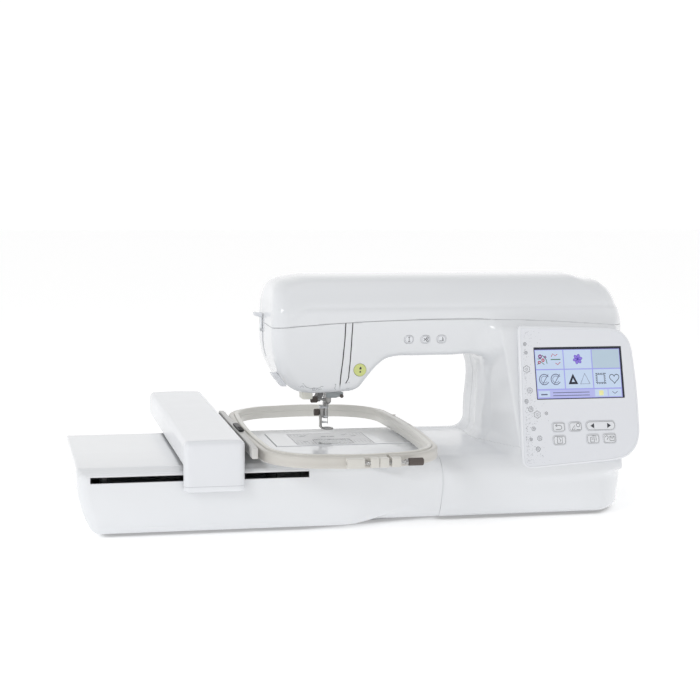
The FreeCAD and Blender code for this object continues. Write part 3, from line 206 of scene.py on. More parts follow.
def polygon(u, v, points):
    """Signed distance to a closed outline, negative inside."""
    best, side = None, None
    for (u0, v0), (u1, v1) in zip(points, points[1:] + points[:1]):
        eu, ev = u1 - u0, v1 - v0
        wu, wv = u - u0, v - v0
        t = np.clip((wu * eu + wv * ev) / (eu * eu + ev * ev), 0, 1)
        gap = (wu - eu * t) ** 2 + (wv - ev * t) ** 2
        crosses = ((v0 <= v) != (v1 <= v)) & ((eu * wv - ev * wu > 0) == (v1 > v0))
        best = gap if best is None else np.minimum(best, gap)
        side = crosses if side is None else side ^ crosses
    return np.where(side, -1.0, 1.0) * np.sqrt(best)


def curve(points, steps=8):
    """Closed smooth outline through points; a point given twice is a corner."""
    count, out = len(points), []
    for i in range(count):
        p0, p1, p2, p3 = (np.array(points[(i + k) % count], float) for k in (-1, 0, 1, 2))
        if np.allclose(p1, p2):
            continue
        chord = np.linalg.norm(p2 - p1)
        ends = []
        for a, b, c in ((p0, p1, p2), (p1, p2, p3)):
            before, after = np.linalg.norm(b - a), np.linalg.norm(c - b)
            if before < 1e-6 or after < 1e-6:
                ends.append((p2 - p1) / chord)
            else:
                tangent = (b - a) / before * after + (c - b) / after * before
                ends.append(tangent / max(1e-9, before + after))
        for k in range(steps):
            t = k / steps
            h = (2 * t**3 - 3 * t**2 + 1, t**3 - 2 * t**2 + t, -2 * t**3 + 3 * t**2, t**3 - t**2)
            out.append(tuple(h[0] * p1 + h[1] * chord * ends[0] + h[2] * p2 + h[3] * chord * ends[1]))
    return out


def slope(field, p):
    """Gradient of a field at points."""
    e = 0.02
    cols = []
    for axis in range(3):
        a, b = p.copy(), p.copy()
        a[:, axis] += e
        b[:, axis] -= e
        cols.append((field(*a.T) - field(*b.T)) / (2 * e))
    return np.stack(cols, 1)


def surface(field, low, high, step):
    """Vertices and quads of a field's zero surface, on a grid, then drawn onto the surface."""
    step = step * 1.0
    axes = [np.arange(a, b + step, step) for a, b in zip(low, high)]
    x, y, z = axes[0][:, None, None], axes[1][None, :, None], axes[2][None, None, :]
    values = np.broadcast_to(field(x, y, z), tuple(len(a) for a in axes)).astype(np.float32)
    inside = values < 0
    shape = tuple(n - 1 for n in inside.shape)

    def corner(grid, c):
        return grid[c[0]:c[0] + shape[0], c[1]:c[1] + shape[1], c[2]:c[2] + shape[2]]

    corners = [(i, j, k) for i in (0, 1) for j in (0, 1) for k in (0, 1)]
    count = sum(corner(inside, c).astype(np.int8) for c in corners)
    cells = np.argwhere((count > 0) & (count < 8))
    index = np.full(shape, -1, np.int64)
    index[tuple(cells.T)] = np.arange(len(cells))
    total, number = np.zeros((len(cells), 3)), np.zeros(len(cells))
    for a in corners:
        for axis in range(3):
            if a[axis]:
                continue
            b = list(a)
            b[axis] = 1
            fa = values[tuple((cells + a).T)]
            fb = values[tuple((cells + b).T)]
            hit = (fa < 0) != (fb < 0)
            t = np.where(hit, fa / np.where(hit, fa - fb, 1), 0)
            point = cells + np.array(a, float)
            point[:, axis] += t
            total += point * hit[:, None]
            number += hit
    p = total / number[:, None] * step + np.array([a[0] for a in axes])
    faces = []
    for axis in range(3):
        u, v = (axis + 1) % 3, (axis + 2) % 3
        a = [slice(None)] * 3
        b = [slice(None)] * 3
        a[axis], b[axis] = slice(0, -1), slice(1, None)
        for w in (u, v):
            a[w] = b[w] = slice(1, -1)
        one, two = inside[tuple(a)], inside[tuple(b)]
        for flip, where in ((False, one & ~two), (True, ~one & two)):
            at = np.argwhere(where)
            at[:, u] += 1
            at[:, v] += 1
            ring = []
            for du, dv in ((1, 1), (0, 1), (0, 0), (1, 0)):
                c = at.copy()
                c[:, u] -= du
                c[:, v] -= dv
                ring.append(index[tuple(c.T)])
            quad = np.stack(ring, 1)
            faces.append(quad[:, ::-1] if flip else quad)
    faces = np.concatenate(faces)
    edges = np.concatenate([faces[:, [i, (i + 1) % 4]] for i in range(4)])
    for turn in range(3):
        ends = np.concatenate([edges[:, 0], edges[:, 1]])
        others = p[np.concatenate([edges[:, 1], edges[:, 0]])]
        times = np.bincount(ends, minlength=len(p))
        near = np.stack([np.bincount(ends, others[:, i], len(p)) for i in range(3)], 1)
        p = 0.5 * p + 0.5 * near / times[:, None]
        for _ in range(2 if turn == 2 else 1):
            g = slope(field, p)
            size = np.maximum((g * g).sum(1), 0.05)
            move = g * (field(*p.T) / size)[:, None]
            reach = np.linalg.norm(move, axis=1)
            p = p - move * np.minimum(1, step / np.maximum(reach, 1e-9))[:, None]
    return p, faces


# ---------------------------------------------------------------------------
# Mesh helpers
# ---------------------------------------------------------------------------
def make(name, points, faces, mats, smooth=True, sharp=None, index=None):
    """Mesh object from points in millimetres from the needle."""
    mesh = bpy.data.meshes.new(name)
    points = np.asarray(points, float) * MM + np.array(NEEDLE)
    if isinstance(faces, np.ndarray):
        mesh.vertices.add(len(points))
        mesh.vertices.foreach_set("co", points.astype(np.float32).ravel())
        mesh.loops.add(faces.size)
        mesh.loops.foreach_set("vertex_index", faces.astype(np.int32).ravel())
        mesh.polygons.add(len(faces))
        mesh.polygons.foreach_set("loop_start", np.arange(0, faces.size, faces.shape[1], dtype=np.int32))
        mesh.update(calc_edges=True)
        mesh.validate()
    else:
        mesh.from_pydata([tuple(p) for p in points], [], faces)
        mesh.validate()
    obj = bpy.data.objects.new(name, mesh)
    bpy.context.scene.collection.objects.link(obj)
    for m in mats if isinstance(mats, (list, tuple)) else [mats]:
        mesh.materials.append(m)
    if index is not None:
        for polygon_, slot_ in zip(mesh.polygons, index):
            polygon_.material_index = slot_
    if smooth:
        shade(obj, sharp)
    return obj


def shade(obj, sharp=None):
    """Smooth shading, with edges sharper than an angle in degrees kept sharp."""
    mesh = obj.data
    mesh.shade_smooth()
    if sharp is not None:
        bm = bmesh.new()
        bm.from_mesh(mesh)
        limit = math.radians(sharp)
        for edge in bm.edges:
            edge.smooth = not (len(edge.link_faces) == 2 and edge.calc_face_angle() > limit)
        bm.to_mesh(mesh)
        bm.free()
    return obj


def piece(obj, body, slot=None, *nodes):
    """Rides on a body and stands for CAD nodes; the slot is not used."""
    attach(obj, body)
    if nodes:
        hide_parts(*nodes)
    return obj


def shift_by(bm, warp, along, sign):
    """Moves vertices along one axis by a function of their place on another."""
    onto, by = along
    for vert in bm.verts:
        vert.co[onto] += sign * float(warp((vert.co[by] - NEEDLE[by]) / MM)) * MM


def keep_side(bm, place, normal, warp=None, along=(2, 0), clear=True):
    """Cuts away what lies beyond a plane, in millimetres from the needle; a warp bends the plane."""
    if warp:
        shift_by(bm, warp, along, -1)
    geometry = bm.verts[:] + bm.edges[:] + bm.faces[:]
    bmesh.ops.bisect_plane(bm, geom=geometry, dist=1e-7, plane_co=NEEDLE + Vector(place) * MM,
                           plane_no=Vector(normal), clear_outer=clear)
    if warp:
        shift_by(bm, warp, along, 1)


def thicken(obj, thickness):
    """Wall of a shell, grown inwards."""
    wall = obj.modifiers.new("wall", "SOLIDIFY")
    wall.thickness = thickness * MM
    wall.offset = -1
    wall.use_rim = True
    return obj


def part_of(name, source, cuts, mats):
    """Copy of a skin, cut by planes."""
    obj = bpy.data.objects.new(name, source.data.copy())
    bpy.context.scene.collection.objects.link(obj)
    bm = bmesh.new()
    bm.from_mesh(obj.data)
    for cut in cuts:
        keep_side(bm, *cut)
    bm.to_mesh(obj.data)
    bm.free()
    obj.data.materials.clear()
    obj.data.materials.append(mats)
    obj.data.shade_smooth()
    return obj


def remove(obj):
    bpy.data.objects.remove(obj, do_unlink=True)


# ---------------------------------------------------------------------------
# Outlines, prisms, lathes and printed lines
# ---------------------------------------------------------------------------
def round_box(u0, u1, v0, v1, r, n=6):
    """Outline of a rectangle with rounded corners, anticlockwise."""
    out = []
    for cu, cv, start in ((u1 - r, v0 + r, -90), (u1 - r, v1 - r, 0), (u0 + r, v1 - r, 90), (u0 + r, v0 + r,
        180)):
        for k in range(n + 1):
            a = math.radians(start + 90 * k / n)
            out.append((cu + r * math.cos(a), cv + r * math.sin(a)))
    return out


def disc(cu, cv, r, n=32):
    return [(cu + r * math.cos(2 * math.pi * k / n),
             cv + r * math.sin(2 * math.pi * k / n)) for k in range(n)]


def inset(points, d):
    """Outline moved inwards by d; points run anticlockwise."""
    pts = np.array(points, float)
    ahead = np.roll(pts, -1, 0) - pts
    ahead /= np.maximum(np.linalg.norm(ahead, axis=1, keepdims=True), 1e-9)
    left = np.stack([-ahead[:, 1], ahead[:, 0]], 1)
    both = left + np.roll(left, 1, 0)
    both /= np.maximum((both * both).sum(1, keepdims=True), 0.5) / 2
    return [tuple(p) for p in pts + both * d]


def flat(plane, at=0.0):
    """Maps (u, v, w) to a place: u and v in the plane, w along its axis."""
    return {"xy": lambda u, v, w: (u, v, at + w), "xz": lambda u, v, w: (u, at + w, v),
            "yz": lambda u, v, w: (at + w, u, v)}[plane]


def stack(points, levels, place):
    """Rings of an outline at (inset, w) levels, capped at both ends: vertices and faces."""
    verts, faces, n = [], [], len(points)
    for d, w in levels:
        verts += [place(u, v, w) for u, v in (inset(points, d) if d else points)]
    for k in range(len(levels) - 1):
        for i in range(n):
            j = (i + 1) % n
            faces.append((k * n + i, k * n + j, (k + 1) * n + j, (k + 1) * n + i))
    faces.append(tuple(range(n - 1, -1, -1)))
    faces.append(tuple((len(levels) - 1) * n + i for i in range(n)))
    return verts, faces


def rounded(edge, low, high, both=True, n=4):
    """Levels of a prism whose ends have edges rounded to a radius."""
    arc = [(edge * (1 - math.cos(a)), edge * (1 - math.sin(a))) for a in
           (math.pi / 2 * k / n for k in range(n + 1))]
    top = [(d, high - w) for d, w in arc]
    foot = [(d, low + w) for d, w in reversed(arc)] if both else [(0, low)]
    return foot + top


def lathe(profile, axis, centre, n=48, closed=False):
    """Vertices and faces of a profile of (radius, place along axis) turned round an axis."""
    verts, faces, m = [], [], len(profile)
    order = {"x": (1, 2, 0), "y": (2, 0, 1), "z": (0, 1, 2)}[axis]
    for k in range(n):
        a = 2 * math.pi * k / n
        for r, h in profile:
            p = [0, 0, 0]
            for where, value in zip(order, (r * math.cos(a), r * math.sin(a), h)):
                p[where] = value + centre[where]
            verts.append(tuple(p))
    span = m if closed else m - 1
    for k in range(n):
        for i in range(span):
            a, b = k * m + i, k * m + (i + 1) % m
            c, d = ((k + 1) % n) * m + (i + 1) % m, ((k + 1) % n) * m + i
            faces.append((a, d, c, b))
    if not closed:
        faces.append(tuple(k * m for k in range(n)))
        faces.append(tuple(k * m + m - 1 for k in reversed(range(n))))
    return verts, faces


def ribbon(path, width, place, w=0.0, closed=False):
    """Flat printed line along a path of (u, v)."""
    pts = np.array(path, float)
    n = len(pts)
    ahead = np.roll(pts, -1, 0) - np.roll(pts, 1, 0)
    if not closed:
        ahead[0], ahead[-1] = pts[1] - pts[0], pts[-1] - pts[-2]
    ahead /= np.maximum(np.linalg.norm(ahead, axis=1, keepdims=True), 1e-9)
    side = np.stack([-ahead[:, 1], ahead[:, 0]], 1) * width / 2
    verts = [place(*p, w) for p in pts + side] + [place(*p, w) for p in pts - side]
    faces = [(i, n + i, n + (i + 1) % n, (i + 1) % n) for i in range(n if closed else n - 1)]
    return verts, faces


def patch(outline, place, w=0.0):
    """Flat printed shape."""
    return [place(u, v, w) for u, v in outline], [tuple(range(len(outline)))]


def arc_path(cu, cv, r, start, end, n=16):
    return [(cu + r * math.cos(math.radians(start + (end - start) * k / n)),
             cv + r * math.sin(math.radians(start + (end - start) * k / n))) for k in range(n + 1)]


class Print:
    """Gathers printed lines and shapes, each with its material, into one piece."""

    def __init__(self, place, lift=-0.03):
        self.verts, self.faces, self.mats, self.index, self.place, self.lift = [], [], [], [], place, lift

    def add(self, made, mat):
        verts, faces = made
        start = len(self.verts)
        self.verts += verts
        self.faces += [tuple(start + i for i in f) for f in faces]
        if mat not in self.mats:
            self.mats.append(mat)
        self.index += [self.mats.index(mat)] * len(faces)

    def line(self, path, width, mat, closed=False, up=0):
        self.add(ribbon(path, width, self.place, self.lift * (1 + up), closed), mat)

    def fill(self, outline, mat, up=0):
        self.add(patch(outline, self.place, self.lift * (1 + up)), mat)

    def make(self, name):
        obj = make(name, self.verts, self.faces, self.mats, smooth=False, index=self.index)
        return obj


def joined(parts):
    """Several (vertices, faces) as one."""
    verts, faces = [], []
    for v, f in parts:
        faces += [tuple(len(verts) + i for i in face) for face in f]
        verts += v
    return verts, faces


def holed(outline, holes, low, high, place):
    """Flat sheet with holes, between two depths: vertices and faces."""
    bm = bmesh.new()
    loops = []
    for ring in [outline] + holes:
        made = [bm.verts.new(Vector(place(u, v, low))) for u, v in ring]
        edges = [bm.edges.new((made[i], made[(i + 1) % len(made)])) for i in range(len(made))]
        loops.append((made, edges))
    every = [e for _, edges in loops for e in edges]
    bmesh.ops.triangle_fill(bm, edges=every, use_beauty=True, use_dissolve=False)
    shift = Vector(place(0, 0, high)) - Vector(place(0, 0, low))
    top = bmesh.ops.duplicate(bm, geom=bm.verts[:] + bm.edges[:] + bm.faces[:])
    pairs = top["vert_map"]
    for made, _ in loops:
        copies = [pairs[v] for v in made]
        for i in range(len(made)):
            j = (i + 1) % len(made)
            bm.faces.new((made[i], made[j], copies[j], copies[i]))
    for item in top["geom"]:
        if isinstance(item, bmesh.types.BMVert):
            item.co += shift
    bmesh.ops.recalc_face_normals(bm, faces=bm.faces)
    bm.verts.index_update()
    verts = [tuple(v.co) for v in bm.verts]
    faces = [tuple(v.index for v in f.verts) for f in bm.faces]
    bm.free()
    return verts, faces


def punch(bm, outline, place, spread):
    """Cuts a convex outline through the faces of a skin within a spread of its middle."""
    ring = [NEEDLE + Vector(place(u, v, 0)) * MM for u, v in outline]
    through = (Vector(place(0, 0, 1)) - Vector(place(0, 0, 0))).normalized()
    middle = sum(ring, Vector()) / len(ring)
    reach = max((p - middle).length for p in ring) + spread * MM

    def near(f):
        away = f.calc_center_median() - middle
        deep = away.dot(through)
        return abs(deep) < spread * MM and (away - through * deep).length < reach + 0.003

    faces = [f for f in bm.faces if near(f)]
    geometry = list({v for f in faces for v in f.verts}) + list({e for f in faces for e in f.edges}) + faces
    for i, p in enumerate(ring):
        along = ring[(i + 1) % len(ring)] - p
        if along.length < 1e-7:
            continue
        done = bmesh.ops.bisect_plane(bm, geom=geometry, dist=1e-7, plane_co=p,
                                      plane_no=through.cross(along).normalized())
        geometry = done["geom"]
    gone = []
    for f in geometry:
        if not isinstance(f, bmesh.types.BMFace) or not near(f):
            continue
        c = f.calc_center_median()
        sides = [through.cross(ring[(i + 1) % len(ring)] - p).dot(c - p) for i, p in enumerate(ring)]
        if all(x > 0 for x in sides) or all(x < 0 for x in sides):
            gone.append(f)
    bmesh.ops.delete(bm, geom=gone, context="FACES")


# ---------------------------------------------------------------------------
# Machine body: head, arm, column and the fairing behind the panel
# ---------------------------------------------------------------------------
BED = 88.7
SHELL_FRONT = curve([
    (353, 303), (353, 303), (364, 299), (372, 288), (379, 266), (384, 245), (384, 228), (380.5, 205), (380,
        170),
    (380, 120), (380, 60), (380, 60), (196, 60), (196, 60), (196, 120), (196, 186), (191.5, 196.5), (181,
        200.6),
    (150, 200.6), (100, 200.4), (76, 200.0), (64, 197.2), (53, 189.5), (38, 172.5), (27, 160.3), (20,
        157.2),
    (8, 155.9), (-10, 155.1), (-38, 155), (-51, 157), (-61, 163), (-70.5, 175.5), (-77, 189), (-81.5, 206),
    (-83, 226), (-82.8, 248), (-81, 270), (-76.5, 287), (-67, 298.5), (-50, 303), (-50, 303)], 6)
ARM_SECTION = curve([
    (-62, 40), (-62, 40), (-62, 259), (-62, 259), (-58.5, 267.5), (-52, 278), (-43, 288), (-31, 296), (-16,
        301),
    (4, 303), (26, 303), (43, 299), (55, 291), (62, 279), (65.5, 263), (66, 240), (66, 40), (66, 40)], 6)
PANEL_FOOT = (-139.0, 63.0)
PANEL_LEAN = 0.3057


def panel_y(z):
    """Depth of the panel's face at a height."""
    return PANEL_FOOT[0] + PANEL_LEAN * (z - PANEL_FOOT[1])


def arm_field(x, y, z):
    front = polygon(x, z, SHELL_FRONT)
    section = polygon(y, z, ARM_SECTION)
    radius = 9 + 10 * ease(-x, 30, 62) + 14 * ease(205 - z, 0, 22) * ease(x, 150, 185)
    radius = radius + 22 * ease(x, 318, 350)
    crease = 262.5 - 11 * ease(-x, 36, 60)
    groove = 1.5 * np.exp(-((z - crease) / 2.6) ** 2) * ease(x, -64, -52) * ease(-y, 20, 50)
    return round_max(front, section, radius) + groove


def fairing_field(x, y, z):
    """Fairing that carries the panel, flared out of the column's front."""
    back = (panel_y(z) + 6.6 - y) / math.sqrt(1 + PANEL_LEAN**2)
    left = -(x - 196 - 34 * np.clip((-20 - y) / 119, 0, 1) ** 1.3) * 0.93
    right = (x - 366) * 0.99 + (y + 62) * -0.12
    low, high = 60 - z, z - 235.5
    sides = round_max(left, right, 12)
    return round_max(round_max(sides, back, 2.0), np.maximum(round_max(high, back, 3.0), np.maximum(low,
        y + 10)), 3.0)


BASE_SECTION = curve([
    (66, 4), (66, 4), (66, 82), (64, 87), (59, 88.7), (20, 88.7), (-58, 88.7), (-80, 87.4), (-104, 83.2),
    (-121, 79.2), (-131, 73.5), (-137.3, 65.5), (-139, 57), (-138, 42), (-134, 27), (-128, 14), (-121, 5.5),
    (-118, 4), (-112, 4), (-112, 4)], 6)
BASE_PLAN = curve([(100, 66), (100, 66), (100, -140), (100, -140), (280, -140), (312, -136), (342, -123),
                   (364, -101), (376, -74), (380, -40), (380, 0), (380, 66), (380, 66)], 6)


def base_field(x, y, z):
    section = polygon(y, z, BASE_SECTION)
    inward = 5.0 * ease(56 - z, 0, 50)
    plan = polygon(x + inward, y, BASE_PLAN)
    return round_max(section, plan, 9)


def machine_field(x, y, z):
    arm = arm_field(x, y, z)
    column = round_min(arm, fairing_field(x, y, z), 3 + 23 * ease(z, 185, 212))
    return round_min(column, base_field(x, y, z), 16)


def seam_lift(x):
    """Height of the arched seam over its ends."""
    return 10.0 * (1 - ((x - 148.5) / 231.5) ** 2)


def thread_slot(z):
    """Sideways place of the left thread slot at a height."""
    return np.interp(z, (164, 178, 197, 222.6, 244), (2.7, 3.9, 6.3, 8.6, 9.7))


def second_slot(z):
    return np.interp(z, (166.5, 173, 191, 216, 245), (9.6, 13.6, 15.4, 17.1, 18.7))


def slot_half(z):
    """Half the width of the gap beside the face plate: a slot above, a fine line below."""
    return 0.1 + 0.62 * ease(np.asarray(z, float), 162, 166)


OPERATION_KEYS = {"needle_key": 91.9, "cut_key": 113.6, "presser_key": 134.7}
START_KEY = (28.4, 184.0)


def on_arm(u, v, w):
    """Place on the flat front of the arm, w behind it."""
    return u, -62 + w, v


WHEEL_HOLE = disc(0, 211, 25.4, 48)


def on_right(u, v, w):
    """Place on the right side, w further out."""
    return 380 + w, u, v


def pill(x):
    return round_box(x - 6, x + 6, 217, 227, 4.2, 6)


def open_front(obj):
    """Second thread slot and the key holes in the front casing."""
    bm = bmesh.new()
    bm.from_mesh(obj.data)
    for side in (-1, 1):
        keep_side(bm, (0, 0, 0), (1, 0, 0), lambda z: second_slot(z) + side * 0.68, (0, 2), clear=False)
    keep_side(bm, (0, 0, 167), (0, 0, 1), clear=False)
    gone = []
    for f in bm.faces:
        c = (f.calc_center_median() - NEEDLE) / MM
        if abs(c.x - second_slot(c.z)) < 0.68 and c.z > 167 and c.y < -40:
            gone.append(f)
    bmesh.ops.delete(bm, geom=gone, context="FACES")
    punch(bm, disc(*START_KEY, 8.35, 40), on_arm, 12)
    for x in OPERATION_KEYS.values():
        punch(bm, inset(pill(x), -0.35), on_arm, 12)
    punch(bm, WHEEL_HOLE, on_right, 14)
    bm.to_mesh(obj.data)
    bm.free()
    obj.data.shade_smooth()


def front_y(x, z):
    """Depth of the head's skin at a place seen from the front."""
    low, high = np.full_like(x, -64.0), np.full_like(x, 0.0)
    for _ in range(24):
        middle = (low + high) / 2
        outside = arm_field(x, middle, z) > 0
        low, high = np.where(outside, middle, low), np.where(outside, high, middle)
    return low


HEAD_X, HEAD_Z = np.arange(-56.0, 19.0, 1.0), np.arange(156.0, 172.0, 0.5)
HEAD_Y = front_y(*[g.copy() for g in np.meshgrid(HEAD_X, HEAD_Z, indexing="ij")])


def on_head(u, v, w):
    """Place on the curved foot of the head's front, w behind it."""
    i = min(len(HEAD_X) - 2, max(0, int(u - HEAD_X[0])))
    j = min(len(HEAD_Z) - 2, max(0, int((v - HEAD_Z[0]) / 0.5)))
    a, b = u - HEAD_X[i], (v - HEAD_Z[j]) / 0.5
    low = HEAD_Y[i, j] * (1 - a) + HEAD_Y[i + 1, j] * a
    high = HEAD_Y[i, j + 1] * (1 - a) + HEAD_Y[i + 1, j + 1] * a
    return u, float(low * (1 - b) + high * b) - 0.08 + w, v


def make_arm_keys():
    """Start key and operation keys, with small generic marks."""
    cap = make("start_key_cap", *stack(disc(*START_KEY, 8, 48), [(0, 5.3), (0, -0.3), (0.14, -0.72), (0.45,
        -1.02),
               (1.0, -1.15), (1.8, -1.2)], on_arm), GREEN, sharp=50)
    piece(cap, "start_key_cap", "key_green", "start_key")
    ring = Print(lambda u, v, w: on_arm(u, v, -1.2 + w), -0.03)
    u, v = START_KEY
    ring.fill([(u - 1.2, v + 0.9), (u + 1.5, v + 0.9), (u + 1.9, v + 2.6), (u + 0.4, v + 4.6), (u - 0.9,
        v + 2.6)],
              INK)
    ring.fill(disc(u + 0.1, v - 2.2, 1.15, 16), INK)
    piece(ring.make("start_key_mark"), "start_key_cap", "key_green")
    marks = {
        "needle_key": [[(0, 3), (0, -2.6)], [(-1.5, -2.6), (1.5, -2.6)], [(-1.2, 3), (1.2, 3)]],
        "cut_key": [[(-2.6, 1.7), (1.2, -1.3)], [(-2.6, -1.7), (1.2, 1.3)], arc_path(2.3, -1.7, 1.2, 0, 350,
            12),
                    arc_path(2.3, 1.7, 1.2, 0, 350, 12)],
        "presser_key": [[(-3, -2.2), (0.4, -2.2)], [(1.4, -2.4), (1.4, 2.8)], [(0.7, -1.4), (2.9, -2.2)],
                        [(2.2, -0.8), (1.2, 2.2)]],
    }
    for name, x in OPERATION_KEYS.items():
        cap = make(name + "_cap", *stack(pill(x), [(0, 5.3), (0, -0.3), (0.14, -0.6), (0.45, -0.82), (1.2,
            -0.88)],
                                         on_arm), KEY, sharp=50)
        piece(cap, name + "_cap", "key_grey", name)
        ink = Print(lambda u, v, w: on_arm(u, v, -0.88 + w), -0.02)
        ink.line(inset(pill(x), 1.15), 0.3, INK_MID, True)
        for path in marks[name]:
            ink.line([(x + a, 222 + b) for a, b in path], 0.66, INK, up=0.5)
        piece(ink.make(name + "_mark"), name + "_cap", "key_grey")


def make_head_print():
    """Fine generic threading lines at the foot of the face plate and beside the slots."""
    ink = Print(on_head, -0.05)
    for path in (
            [(-50, 163.6), (-45, 168.4), (-41, 163.6)], [(-48.2, 163), (-45.8, 165.4), (-43.6, 163)],
            [(-41, 163.6), (-35, 161.5), (-29, 162), (-24, 162)], arc_path(-31, 161, 1.5, 0, 330, 10),
            [(-33, 159.2), (-28, 159.2), (-26, 161.5)], [(-24, 162), (-21.6, 164), (-18.6, 164)],
            [(-26, 158.8), (-23, 160.6), (-20.6, 160.6)], [(-2.8, 164.4), (-4.4, 161.2), (-2.6, 159.4)],
            arc_path(-3.0, 166.0, 0.7, 0, 330, 8)):
        ink.line(path, 0.42, INK_MID)
    ink.line([(11.2, 160.4), (14.8, 160.4), (14.8, 168.4), (11.2, 168.4)], 0.4, INK_MID, True)
    ink.line([(12.4, 161.6), (12.4, 167.2)], 0.3, INK_PALE)
    piece(ink.make("head_print"), "machine", "white_gloss")
    # Black sheet behind the two thread slots: painted shade, standing for the dark inside of the head.
    slot_shade = joined([stack([(thread_slot(z) - 2.2, z) for z in (165, 190, 215, 246)]
                          + [(second_slot(z) + 2.2, z) for z in (246, 215, 190, 165)],
                          [(0, 0), (0, 0.6)], lambda u, v, w: (u, -58.6 + w, v))])
    piece(make("slot_shade_sheet", *slot_shade, SLOT_SHADE_BLACK, smooth=False), "machine", "white_gloss")


def make_body():
    skin_points, skin_faces = surface(machine_field, (-88, -146, -1), (390, 70, 308), 2.6)
    skin = make("skin", skin_points, skin_faces, WHITE)
    seam = 237.5
    gap = 0.24
    lid = part_of("lid_shell", skin, [((0, 0, seam + gap), (0, 0, -1), seam_lift)], WHITE)
    piece(thicken(lid, 2.6), "lid", "white_gloss", "top_lid")
    below = ((0, 0, seam - gap), (0, 0, 1), seam_lift)
    above_bed = ((0, 0, BED + 1.3), (0, 0, -1))
    ahead = ((0, 12, 0), (0, 1, 0))
    face = part_of("face_shell", skin, [
        below, above_bed, ahead, ((0, 0, 0), (1, 0, 0), lambda z: thread_slot(z) - slot_half(z), (0, 2))],
        WHITE)
    piece(thicken(face, 2.4), "machine", "white_gloss", "face_plate")
    front = part_of("front_shell", skin, [
        below, above_bed, ahead, ((0, 0, 0), (-1, 0, 0), lambda z: thread_slot(z) + slot_half(z), (0, 2))],
        WHITE)
    open_front(front)
    piece(thicken(front, 2.4), "machine", "white_gloss", "front_casing")
    rear = part_of("rear_shell", skin, [below, above_bed, ((0, 12.2, 0), (0, -1, 0))], WHITE)
    bm = bmesh.new()
    bm.from_mesh(rear.data)
    punch(bm, round_box(17.6, 26.4, 192.6, 230.9, 1.5, 3), lambda u, v, w: (-81 + w, u, v), 5)
    punch(bm, WHEEL_HOLE, on_right, 14)
    bm.to_mesh(rear.data)
    bm.free()
    rear.data.shade_smooth()
    piece(thicken(rear, 2.4), "machine", "white_gloss", "rear_casing")
    base = part_of("base_shell", skin, [((0, 0, BED + 1.3), (0, 0, 1)), ((118.4, 0, 0), (-1, 0, 0)),
                                        ((0, 0, 4.1), (0, 0, -1))], WHITE)
    bm = bmesh.new()
    bm.from_mesh(base.data)
    for y0, y1 in ((18, 46), (-14, 8)):
        punch(bm, round_box(y0, y1, 34, 54, 1.2, 3), on_right, 8)
    bm.to_mesh(base.data)
    bm.free()
    base.data.shade_smooth()
    piece(thicken(base, 2.6), "machine", "white_gloss", "base_casing")
    remove(skin)
    floor = [(121.5, -111), (300, -111), (330, -104), (352, -88), (365, -66), (370, -38), (371.5, 0),
             (371.5, 60),
             (121.5, 60)]
    plate = stack(floor, [(0.6, 4.0), (0, 4.6), (0, 6.5)], flat("xy"))
    piece(make("base_plate", *plate, INNER_GREY, sharp=30), "machine", "grey_matt", "base_floor")


# ---------------------------------------------------------------------------
# Embroidery unit and carriage cover
# ---------------------------------------------------------------------------
UNIT_LEFT_SECTION = curve([
    (65, 4), (65, 4), (65, 88.7), (65, 88.7), (-58, 88.7), (-58, 88.7), (-100, 87.8), (-150, 86.0), (-166,
        85.2),
    (-170.6, 83.6), (-172.6, 79.5), (-173, 72), (-172, 56), (-168.5, 40), (-162.5, 24), (-154, 9.5), (-148,
        4),
    (-142, 4), (-142, 4)], 5)
UNIT_RIGHT_SECTION = curve([
    (65, 4), (65, 4), (65, 88.7), (65, 88.7), (-58, 88.7), (-58, 88.7), (-80, 87.4), (-104, 83.2),
    (-121, 79.2), (-131, 73.5), (-137.3, 65.5), (-139, 57), (-138, 42), (-134, 27), (-128, 14), (-121, 5.5),
    (-118, 4), (-112, 4), (-112, 4)], 5)
UNIT_FRONT = curve([(130, 4), (130, 4), (130, 88.7), (130, 88.7), (-333, 88.7), (-333, 88.7), (-332.6, 66),
                    (-329.5, 46), (-322.5, 24), (-313, 8), (-307, 4), (-300, 4), (-300, 4)], 5)


def unit_field(x, y, z):
    left = polygon(y, z, UNIT_LEFT_SECTION)
    right = polygon(y, z, UNIT_RIGHT_SECTION)
    mix = ease(x, -18, 112)
    section = left * (1 - mix) + right * mix
    front = polygon(x, z, UNIT_FRONT)
    radius = 2.2 + 12 * ease(-y, 150, 165)
    return round_max(section, front, radius)


